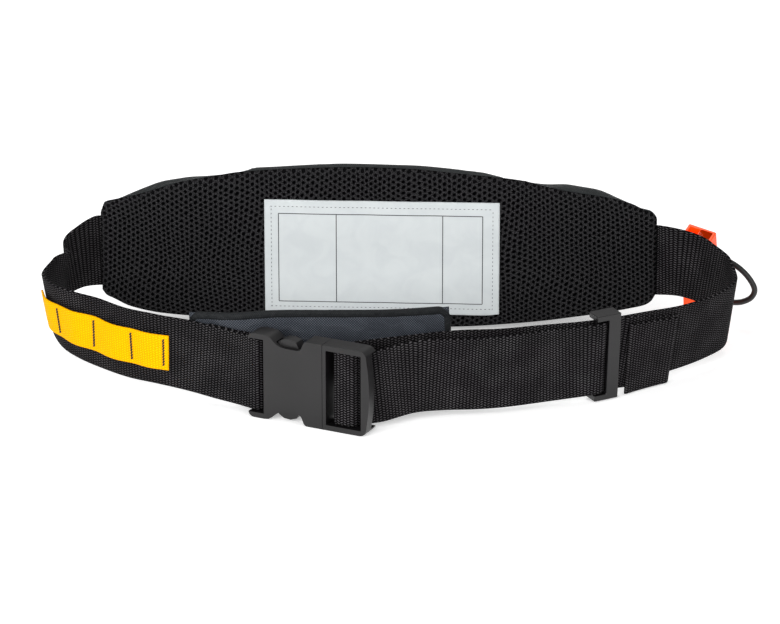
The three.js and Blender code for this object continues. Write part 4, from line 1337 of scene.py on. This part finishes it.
@dataclass
class Pouch:
    """The cover and the mesh panel, with their sizes in millimetres."""

    cover_columns: int = 170
    cover_rows: int = 64
    cover_wall: float = 0.9
    squareness: float = 2.6
    lowest: float = 0.4
    seam_reach: float = 14.0
    pleat: float = 0.9
    pleat_pitch: float = 16.0
    swell: float = 1.1
    swell_pitch: float = 60.0
    crumple: float = 2.6
    crumple_rise: float = 0.5
    crumple_lowest: float = 0.3
    crumple_steps: int = 18
    panel_columns: int = 220
    panel_rows: int = 72
    rim_reach: float = 3.4
    lump: float = 0.45
    lump_pitch: float = 45.0

    def build(self) -> list[Piece]:
        """Builds the pouch's pieces."""
        return [self.cover(), self.panel()]

    def cover(self) -> Piece:
        """Builds the nylon cover: a superellipse section carried along the pouch.

        The back stands off by the cosine of the turn, and the height follows its sine, both to
        the power 2 over the squareness; puff lifts the upper half and sag lowers the other. Short
        pleats near the seam and slow swells elsewhere push the cloth out and in.
        """
        along = clustered(self.cover_columns)[:, None]
        turn = np.linspace(-math.pi / 2, math.pi / 2, self.cover_rows)[None, :]
        s = pouch_at(along)
        middle, half = (s["top"] + s["bottom"]) / 2, (s["top"] - s["bottom"]) / 2
        power = 2 / self.squareness
        back = np.abs(np.cos(turn)) ** power
        rise = signed_power(np.sin(turn), power)
        swell = np.sin(math.pi * np.minimum(1, back * 1.25))
        bulge = np.where(rise > 0, s["puff"] * swell * rise, s["sag"] * np.minimum(1, 2.5 * back) * rise)
        z = middle + half * rise + bulge
        y = s["depth"] * back
        x = (along - 0.5) * SIZES.panel_length + 0 * turn
        near_seam = np.exp(-y / self.seam_reach) * np.minimum(1, y / 2.5)
        pleats = waves(x, y * 0.35, self.pleat_pitch, Seed.PLEATS, 9)
        swells = waves(x, z + y, self.swell_pitch, Seed.SWELLS)
        free = np.minimum(1, y / 6.0) * (back > 0.02)
        push = near_seam * self.pleat * pleats + free * self.swell * swells
        steep = np.sign(turn) * (1.4 - back)
        norm = np.hypot(back, steep)
        y = y + push * back / norm
        z = np.maximum(z + push * steep / norm, self.lowest)
        points = np.stack([x, y, z], axis=-1).reshape(-1, 3)
        steps = np.hypot(np.diff(y, axis=1), np.diff(z, axis=1))
        run = np.cumsum(np.pad(steps, ((0, 0), (1, 0))), axis=1)
        piece = mesh_piece("nylon_cover", points, grid_faces(*x.shape), cloth_uv(x, run))
        self.inflate(piece, x.shape)
        self.close_ends(piece, x.shape)
        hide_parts("pouch_cover")
        return dress(piece, GREY_NYLON)

    def inflate(self, piece: Piece, shape: tuple[int, int]) -> None:
        """Lets the cover crumple as slack cloth held along its seam, and keeps the result.

        No point moves further than the crumple size or higher than its rise, and none ends up
        under the lowest height.

        Args:
            piece: the cover as a grid.
            shape: columns and rows of that grid.
        """
        count = shape[0] * shape[1]
        before = np.zeros(count * 3)
        piece.data.vertices.foreach_get("co", before)
        number = np.arange(count).reshape(shape)
        rim = np.concatenate([number[:2].ravel(), number[-2:].ravel(), number[:, 0], number[:, -1]])
        held = piece.vertex_groups.new(name="seam")
        held.add([int(k) for k in np.unique(rim)], 1.0, "REPLACE")
        cloth = piece.modifiers.new("Cloth", "CLOTH")
        for name, value in CRUMPLING.items():
            setattr(cloth.settings, name, value)
        cloth.settings.effector_weights.gravity = 0
        cloth.collision_settings.use_self_collision = False
        scene = bpy.context.scene
        for step in range(1, self.crumple_steps + 1):
            scene.frame_set(step)
        evaluated = piece.evaluated_get(bpy.context.evaluated_depsgraph_get())
        after = np.zeros(count * 3)
        evaluated.data.vertices.foreach_get("co", after)
        piece.modifiers.remove(cloth)
        piece.vertex_groups.remove(held)
        move = (after - before).reshape(-1, 3)
        size = np.linalg.norm(move, axis=1, keepdims=True)
        cap = self.crumple * MM
        move *= cap * np.tanh(size / cap) / np.maximum(size, 1e-9)
        move[:, 2] = np.minimum(move[:, 2], self.crumple_rise * MM)
        result = before.reshape(-1, 3) + move
        result[:, 2] = np.maximum(result[:, 2], self.crumple_lowest * MM)
        piece.data.vertices.foreach_set("co", result.ravel())
        piece.data.update()
        scene.frame_set(1)
        LOG.info("cover crumpled, mean move %.2f mm", float(size.mean() / MM))

    def close_ends(self, piece: Piece, shape: tuple[int, int]) -> None:
        """Closes the cover's two ends and gives the cloth its thickness inwards."""
        with edited(piece.data) as made:
            made.verts.ensure_lookup_table()
            layer = made.loops.layers.uv.verify()
            for column in (0, shape[0] - 1):
                ring = [made.verts[column * shape[1] + k] for k in range(shape[1])]
                face = made.faces.new(ring if column else ring[::-1])
                for loop in face.loops:
                    loop[layer].uv = (loop.vert.co.y, loop.vert.co.z)
            bmesh.ops.triangulate(made, faces=[f for f in made.faces if len(f.verts) > 4])
            bmesh.ops.recalc_face_normals(made, faces=made.faces)
            probe = max(made.faces, key=lambda f: f.calc_center_median().y)
            if probe.normal.y < 0:
                bmesh.ops.reverse_faces(made, faces=made.faces)
        add_modifier(piece, "SOLIDIFY", thickness=self.cover_wall * MM, offset=-1.0)

    def panel(self) -> Piece:
        """Builds the padded mesh panel: its crown with a rounded rim, closed by a flat back.

        The rim rises from the back along a quarter circle. The attribute Rim keeps each point's
        distance from the edge, in millimetres.
        """
        along = clustered(self.panel_columns)[:, None]
        share = clustered(self.panel_rows)[None, :]
        s = pouch_at(along)
        z = s["bottom"] + (s["top"] - s["bottom"]) * share
        x = (along - 0.5) * SIZES.panel_length + 0 * share
        end = SIZES.panel_length / 2 - np.abs(x)
        edge = np.minimum(np.minimum(z - s["bottom"], s["top"] - z), end)
        roll = np.sqrt(1 - (1 - np.clip(edge / self.rim_reach, 0, 1)) ** 2)
        lumps = self.lump * waves(x, z, self.lump_pitch, Seed.PANEL_LUMPS) * np.minimum(1, edge / 12)
        front = -SIZES.gap - SIZES.panel_edge * roll - crown_at(along, z) - lumps
        back = np.full_like(front, -SIZES.gap)
        shape = x.shape
        points = np.concatenate([
            np.stack([x, front, z], axis=-1).reshape(-1, 3),
            np.stack([x, back, z], axis=-1).reshape(-1, 3),
        ])
        one = grid_faces(*shape)
        faces = np.concatenate([one, one[:, ::-1] + shape[0] * shape[1]])
        uv = np.tile(cloth_uv(x, z), (2, 1))
        piece = mesh_piece("mesh_panel", points, faces, uv)
        rim = piece.data.attributes.new("Rim", "FLOAT", "POINT")
        rim.data.foreach_set("value", np.tile(edge.ravel(), 2).astype(np.float32))
        weld(piece, 1e-7)
        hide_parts("mesh_back_panel")
        return dress(piece, MeshFinish())


@dataclass
class Label:
    """The label and its seam, in millimetres.

    The start is the left end's place, in shares of its length from the pouch's middle, low is the
    lower edge's place in shares of the panel's height, and the fall is per length.
    """

    length: float = 159.0
    height: float = 81.0
    thickness: float = 0.9
    start: float = -0.4865
    low: float = 0.122
    fall: float = 0.018
    columns: int = 110
    rows: int = 60
    stand_off: float = 1.0
    curl_reach: float = 10.0
    curl: float = 2.2
    curl_lift: float = 1.6
    lump: float = 0.25
    lump_pitch: float = 38.0
    rim_rise: float = 0.2
    rim_reach: float = 1.2
    rim_pitch: float = 12.0
    inset: float = 4.6
    pitch: float = 2.9
    stitch: float = 1.7
    thread: float = 0.22

    def face(self, u: np.ndarray, v: np.ndarray) -> np.ndarray:
        """Gives the middle surface: the panel's crown, slow lumps, a raised rim and a curled corner.

        Args:
            u: distance from the left end.
            v: distance from the lower edge.

        Returns:
            Points in the source's layout.
        """
        x = self.start * self.length + u
        z = SIZES.panel_lift + self.low * SIZES.panel_height + v - self.fall * u
        crown = crown_at(x / SIZES.panel_length + 0.5 + 0 * z, z + 0 * x)
        lumps = self.lump * waves(x, z, self.lump_pitch, Seed.LABEL_LUMPS)
        reach = self.curl_reach
        corner = np.maximum(0, (u - self.length) / reach + 1) * np.maximum(0, 1 - v / reach)
        y = -SIZES.gap - SIZES.panel_edge - crown - self.stand_off - lumps - self.curl * corner**1.5
        rims = self.rim_rise * np.exp(-np.minimum(v, self.height - v) / self.rim_reach)
        y = y - rims * (1 + waves(x, z, self.rim_pitch, Seed.LABEL_RIM))
        return np.stack([x + 0 * z, y, z + 0 * x + self.curl_lift * corner**1.5], axis=-1)

    def build(self) -> list[Piece]:
        """Builds the label and its stitches."""
        u = np.linspace(0, self.length, self.columns)[:, None]
        v = np.linspace(0, self.height, self.rows)[None, :]
        points, faces = self.face(u, v), grid_faces(self.columns, self.rows)
        piece = mesh_piece("label_cloth", points.reshape(-1, 3), faces, cloth_uv(u, v))
        add_modifier(piece, "SOLIDIFY", thickness=self.thickness * MM, offset=0.0)
        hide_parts("care_label")
        return [dress(piece, LabelFinish()), self.seam()]

    def seam(self) -> Piece:
        """Builds the row of stitches inside the label's edge."""
        across, upwards = (
            np.arange(self.inset, size - self.inset, self.pitch) for size in (self.length, self.height)
        )
        ends_u = np.repeat([self.inset, self.length - self.inset], len(upwards))
        ends_v = np.repeat([self.inset, self.height - self.inset], len(across))
        rows_u = np.concatenate([np.tile(across, 2), ends_u])
        rows_v = np.concatenate([ends_v, np.tile(upwards, 2)])
        level = np.repeat([1.0, 0.0], [2 * len(across), 2 * len(upwards)])
        step = 0.6
        here = self.face(rows_u, rows_v)
        ways = self.face(rows_u + step * level, rows_v + step * (1 - level)) - here
        out = np.tile([0.0, -1.0, 0.0], (len(here), 1))
        here = here + out * (self.thickness / 2 - 0.05)
        row = stitches("label_stitches", here, ways, out, self.stitch, self.thread)
        return dress(row, PALE_THREAD)


@dataclass
class Belt:
    """The two straps, the yellow strip and the pad behind the buckle."""

    left_steps: int = 10
    right_steps: int = 8
    ripple: float = 0.22
    ripple_pitch: float = 60.0
    calm_stations: float = 14.0
    calm_fade: float = 2.0
    strip_width: float = 25.0
    strip_thickness: float = 1.4
    strip_bulge: float = 1.6
    strip_samples: int = 150
    tack_stitches: int = 20
    tack_stitch: float = 2.1
    tack_thread: float = 0.48
    tack_stagger: float = 0.18
    tack_slant: float = 0.35
    tack_margins: tuple = (3.6, 3.2)
    last_tack: float = -0.14
    pad_height: float = 55.0
    pad_thickness: float = 4.0
    pad_steps: int = 16
    pad_rows: int = 34
    pad_rim: float = 13.0
    pad_rim_share: float = 0.32
    pad_lump: float = 0.5
    pad_lump_pitch: float = 34.0
    binding_width: float = 2.5
    binding_inset: float = 1.6
    binding_corner: float = 6.0
    binding_samples: int = 320
    binding_sides: int = 14
    left: Route = field(default_factory=left_course)
    main: Route = field(default_factory=right_main)

    def build(self) -> list[Piece]:
        """Builds the belt's pieces."""
        return [self.left_strap(), self.right_strap(), *self.strip(), *self.pad()]

    def left_strap(self) -> Piece:
        """Builds the left strap."""
        frames = self.left.even(self.left_steps)
        before_end = frames.station[-1] - frames.station
        calm = np.clip((before_end - self.calm_stations) / self.calm_fade, 0, 1)

        def ripple(run: np.ndarray, height: np.ndarray) -> np.ndarray:
            """Gives slow waves that die out towards the buckle."""
            wave = waves(run, height * 0.6, self.ripple_pitch, Seed.STRAP_RIPPLE)
            return self.ripple * wave * calm[:, None]

        width, thickness = SIZES.webbing_width, SIZES.webbing_thickness
        piece = band("left_webbing", frames, width, thickness, ripple=ripple)
        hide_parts("strap_left")
        return dress(piece, BLACK_WEBBING)

    def right_strap(self) -> Piece:
        """Builds the right strap."""
        frames = right_course(self.main).even(self.right_steps)
        width, thickness = SIZES.webbing_width, SIZES.webbing_thickness
        piece = band("right_webbing", frames, width, thickness)
        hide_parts("strap_right")
        return dress(piece, BLACK_WEBBING)

    def strip(self) -> list[Piece]:
        """Builds the yellow strip, which stands off the strap by a squared sine between tacks."""
        rest = SIZES.webbing_thickness / 2 + 3 * SIZES.gap + self.strip_thickness / 2
        spans = len(self.left.points) - 1
        at = np.linspace(STRIP_TACKS[0], STRIP_TACKS[-1], self.strip_samples)
        fine = self.left.frames(at / spans)
        bay = np.searchsorted(STRIP_TACKS, fine.station, side="right") - 1
        bay = np.clip(bay, 0, len(STRIP_TACKS) - 2)
        share = (fine.station - STRIP_TACKS[bay]) / (STRIP_TACKS[bay + 1] - STRIP_TACKS[bay])
        offset = rest + self.strip_bulge * np.sin(math.pi * share) ** 2
        lift = (SIZES.webbing_width - self.strip_width) / 2
        piece = band(
            "yellow_strip", fine, self.strip_width, self.strip_thickness,
            lift=lift, offset=offset, columns=9,
        )
        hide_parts("daisy_strip")
        dress(piece, YELLOW_WEBBING)
        return [piece, self.tacks(rest, lift, spans)]

    def tacks(self, rest: float, lift: float, spans: int) -> Piece:
        """Builds the bar tacks: at each, short stitches along the strap in a close column.

        The margins are those of the strip below and above a tack, and the last tack stands a
        share of a station back from the strip's end.

        Args:
            rest: distance of the strip's middle from the strap's middle at a tack.
            lift: height of the strip's lower edge above the strap's.
            spans: number of spans of the strap's course.

        Returns:
            All tacks as one piece.
        """
        at = STRIP_TACKS[1:].copy()
        at[-1] += self.last_tack
        count, (low, high) = self.tack_stitches, self.tack_margins
        frames = self.left.frames(np.repeat(at, count) / spans)
        heights = np.tile(np.linspace(low, self.strip_width - high, count), len(at)) + lift
        zigzag = np.tile(np.where(np.arange(count) % 2, 1, -1), len(at)) * self.tack_stagger
        places = (
            frames.point
            + frames.up * heights[:, None]
            + frames.out * (rest + self.strip_thickness / 2 + 0.15)
            + frames.along * zigzag[:, None]
        )
        ways = frames.along + self.tack_slant * frames.up
        row = stitches(
            "bar_tacks", places, ways, frames.out, self.tack_stitch, self.tack_thread,
        )
        return dress(row, BLACK_THREAD)

    def pad(self) -> list[Piece]:
        """Builds the pad behind the buckle and the binding round its edge.

        Its thickness rises from the edge along a quarter circle over the rim.
        """
        frames = Route(*stations(PAD_ROUTE), 1).even(self.pad_steps)
        height, run = self.pad_height, frames.run
        v = clustered(self.pad_rows)[None, :] * height
        end = np.minimum(run, run[-1] - run)[:, None]
        edge = np.minimum(np.minimum(v, height - v), end)
        roll = np.sqrt(1 - (1 - np.clip(edge / self.pad_rim, 0, 1)) ** 2)
        plump = self.pad_rim_share + (1 - self.pad_rim_share) * roll
        wave = waves(run[:, None], v, self.pad_lump_pitch, Seed.PAD_LUMPS)
        lumps = self.pad_lump * wave * np.clip(edge / 10, 0, 1)
        outs = self.pad_thickness / 2 * plump
        lifts = v + 0 * run[:, None]
        sides = [frames.at(lifts, side * outs + lumps).reshape(-1, 3) for side in (1, -1)]
        one, size = grid_faces(*lifts.shape), lifts.size
        number = np.arange(size).reshape(lifts.shape)
        loop = np.concatenate([number[:, 0], number[-1, 1:], number[-2::-1, -1], number[0, -2:0:-1]])
        ahead = np.roll(loop, -1)
        rim = np.stack([loop, ahead, ahead + size, loop + size], axis=1)
        faces = np.concatenate([one, one[:, ::-1] + size, rim])
        uv = np.tile(cloth_uv(run[:, None], v), (2, 1))
        pad = mesh_piece("buckle_pad_cloth", np.concatenate(sides), faces, uv)
        weld(pad, 1e-7)
        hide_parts("buckle_pad")
        dress(pad, SLATE_NYLON)
        return [pad, self.binding(frames)]

    def binding(self, frames: Frames) -> Piece:
        """Builds the binding: a flattened tube along the pad's edge with rounded corners."""
        run, radius = frames.run, self.binding_corner
        left = low = self.binding_inset
        right, high = run[-1] - left, self.pad_height - low
        quarter = np.linspace(0, math.pi / 2, 9)
        corners = [
            (right - radius, low + radius, -math.pi / 2), (right - radius, high - radius, 0),
            (left + radius, high - radius, math.pi / 2), (left + radius, low + radius, math.pi),
        ]
        path = np.concatenate([
            np.stack([x + radius * np.cos(start + quarter), z + radius * np.sin(start + quarter)], axis=1)
            for x, z, start in corners
        ])
        closed = np.concatenate([path, path[:1]])
        steps = np.concatenate([[0], np.cumsum(np.linalg.norm(np.diff(closed, axis=0), axis=1))])
        count, sides = self.binding_samples, self.binding_sides
        at = np.linspace(0, steps[-1], count, endpoint=False)
        s = np.interp(at, steps, closed[:, 0])
        h = np.interp(at, steps, closed[:, 1])
        slope = np.stack([np.roll(c, -1) - np.roll(c, 1) for c in (s, h)], axis=1)
        slope /= np.linalg.norm(slope, axis=1, keepdims=True)
        share = np.interp(s, run, np.linspace(0, 1, len(run)))
        place = Route(*stations(PAD_ROUTE), 1).frames(share)
        middle = place.point + place.up * h[:, None]
        side = place.along * slope[:, 1:2] - place.up * slope[:, 0:1]
        turn = np.linspace(0, 2 * math.pi, sides, endpoint=False)
        wide = self.binding_width * signed_power(np.cos(turn), 0.8)
        deep = (self.pad_thickness / 2 + 0.1) * signed_power(np.sin(turn), 0.55)
        wobble = 1 + 0.08 * waves(at, 0 * at, 9.0, Seed.BINDING_WOBBLE)
        points = (
            middle[:, None]
            + side[:, None] * wide[None, :, None]
            + place.out[:, None] * (wobble[:, None] * deep[None, :])[..., None]
        ).reshape(-1, 3)
        uv = cloth_uv(at[:, None], (turn * 1.4)[None, :])
        faces = grid_faces(count, sides, True, True)
        piece = mesh_piece("pad_binding", points, faces, uv)
        face_outwards(piece)
        return dress(piece, BINDING)


@dataclass(frozen=True)
class Moulded:
    """A moulded part, built as a rounded copy of its CAD node.

    The edge is the rounding's width in millimetres, and the angle is the least one between two
    faces whose edge is rounded, in degrees.
    """

    node: str
    slot: Slot
    finish: Finish
    edge: float
    angle: float = 28.0

    def build(self) -> list[Piece]:
        """Builds the part."""
        return [dress(softened_copy(self.node, self.edge, self.angle), self.finish)]


MOULDED_PARTS = (
    Moulded("buckle_socket", Slot.BUCKLE, CHARCOAL, 1.6),
    Moulded("buckle_plug", Slot.BUCKLE, CHARCOAL, 1.6),
    Moulded("webbing_slide", Slot.BUCKLE, CHARCOAL, 0.6),
    Moulded("whistle", Slot.WHISTLE, ORANGE, 0.4, 50.0),
    Moulded("whistle_keeper", Slot.WEBBING, BLACK_THREAD, 0.3),
)


# Stage, light and camera


@dataclass
class Studio:
    """The camera at the photograph's angle, the pale floor, and the soft lights."""

    elevation: float = 20.0
    lens: float = 202.73
    eye: tuple = (7.5, -2819.08, 1039.87)
    aim: tuple = (0.0, 0.0, 0.05)
    lamps: tuple = (
        ("key", (-1.1, -2.1, 1.05), 1.3, 56.0),
        ("fill", (1.5, -1.9, 0.9), 1.5, 20.0),
        ("top", (0.0, 0.9, 2.2), 1.6, 18.0),
    )
    sky: float = 0.4
    floor_half: float = 6.0
    floor_drop: float = 0.0002
    floor_tone: tuple = rgba(0.93, 0.93, 0.93)
    floor_glow: float = 0.4

    def camera(self) -> Piece:
        """Places the camera; its eye is given in the source's layout."""
        data = bpy.data.cameras.new("camera")
        data.lens = self.lens
        data.sensor_width = 36.0
        data.clip_end = 50.0
        camera = new_object("camera", data)
        camera.location = (np.array(self.eye) + SHIFT) * MM
        camera.rotation_euler = (math.radians(90 - self.elevation), 0, 0)
        bpy.context.scene.camera = camera
        return camera

    def lights(self) -> None:
        """Places three large soft lights and a pale sky."""
        for name, place, size, power in self.lamps:
            data = bpy.data.lights.new(name, "AREA")
            data.size = size
            data.energy = power
            light = new_object(name, data)
            light.location = place
            x, y, z = np.array(self.aim) - np.array(place)
            light.rotation_euler = (math.atan2(math.hypot(x, y), -z), 0, math.atan2(y, x) - math.pi / 2)
        world = bpy.context.scene.world or bpy.data.worlds.new("world")
        bpy.context.scene.world = world
        world.use_nodes = True
        Board(world.node_tree).feed(world.node_tree.nodes["Background"], {0: WHITE, 1: self.sky})
        bpy.context.scene.view_settings.view_transform = "Standard"

    def floor(self) -> Piece:
        """Builds the pale floor, a plain square a little under the pack."""
        ends = [-self.floor_half, self.floor_half]
        x, y = np.meshgrid(ends, ends, indexing="ij")
        mesh = bpy.data.meshes.new("studio_floor")
        points = np.stack([x, y, np.full_like(x, -self.floor_drop)], axis=-1).reshape(-1, 3)
        mesh.from_pydata(points.tolist(), [], grid_faces(*x.shape)[:, ::-1].tolist())
        mesh.polygons.foreach_set("use_smooth", np.ones(len(mesh.polygons), bool))
        floor = new_object("studio_floor", mesh)
        material = bpy.data.materials.new("Pale floor")
        material.use_nodes = True
        Board(material.node_tree).feed(material.node_tree.nodes["Principled BSDF"], {
            "Base Color": self.floor_tone,
            "Roughness": 0.9,
            "Specular IOR Level": 0.0,
            "Emission Color": WHITE,
            "Emission Strength": self.floor_glow,
        })
        mesh.materials.append(material)
        return floor


def write_sizes() -> None:
    """Updates the view layer."""
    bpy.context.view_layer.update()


def main() -> None:
    """Builds the scene: camera and cord first, then the groups, the pack and its studio."""
    logging.basicConfig(level=logging.INFO, format="%(message)s")
    studio = Studio()
    studio.camera()
    for make in (weave_group, twill_group, mesh_group, grain_group):
        make()
    made = [RubberLoop().build()]
    for part in (Pouch(), Label(), Belt(), *MOULDED_PARTS):
        made.extend(part.build())
    for piece in made:
        count = len(piece.data.polygons) if piece.type == "MESH" else 0
        LOG.info("%s: %d faces", piece.name, count)
    studio.lights()
    studio.floor()
    write_sizes()


if __name__ == "__main__":
    main()
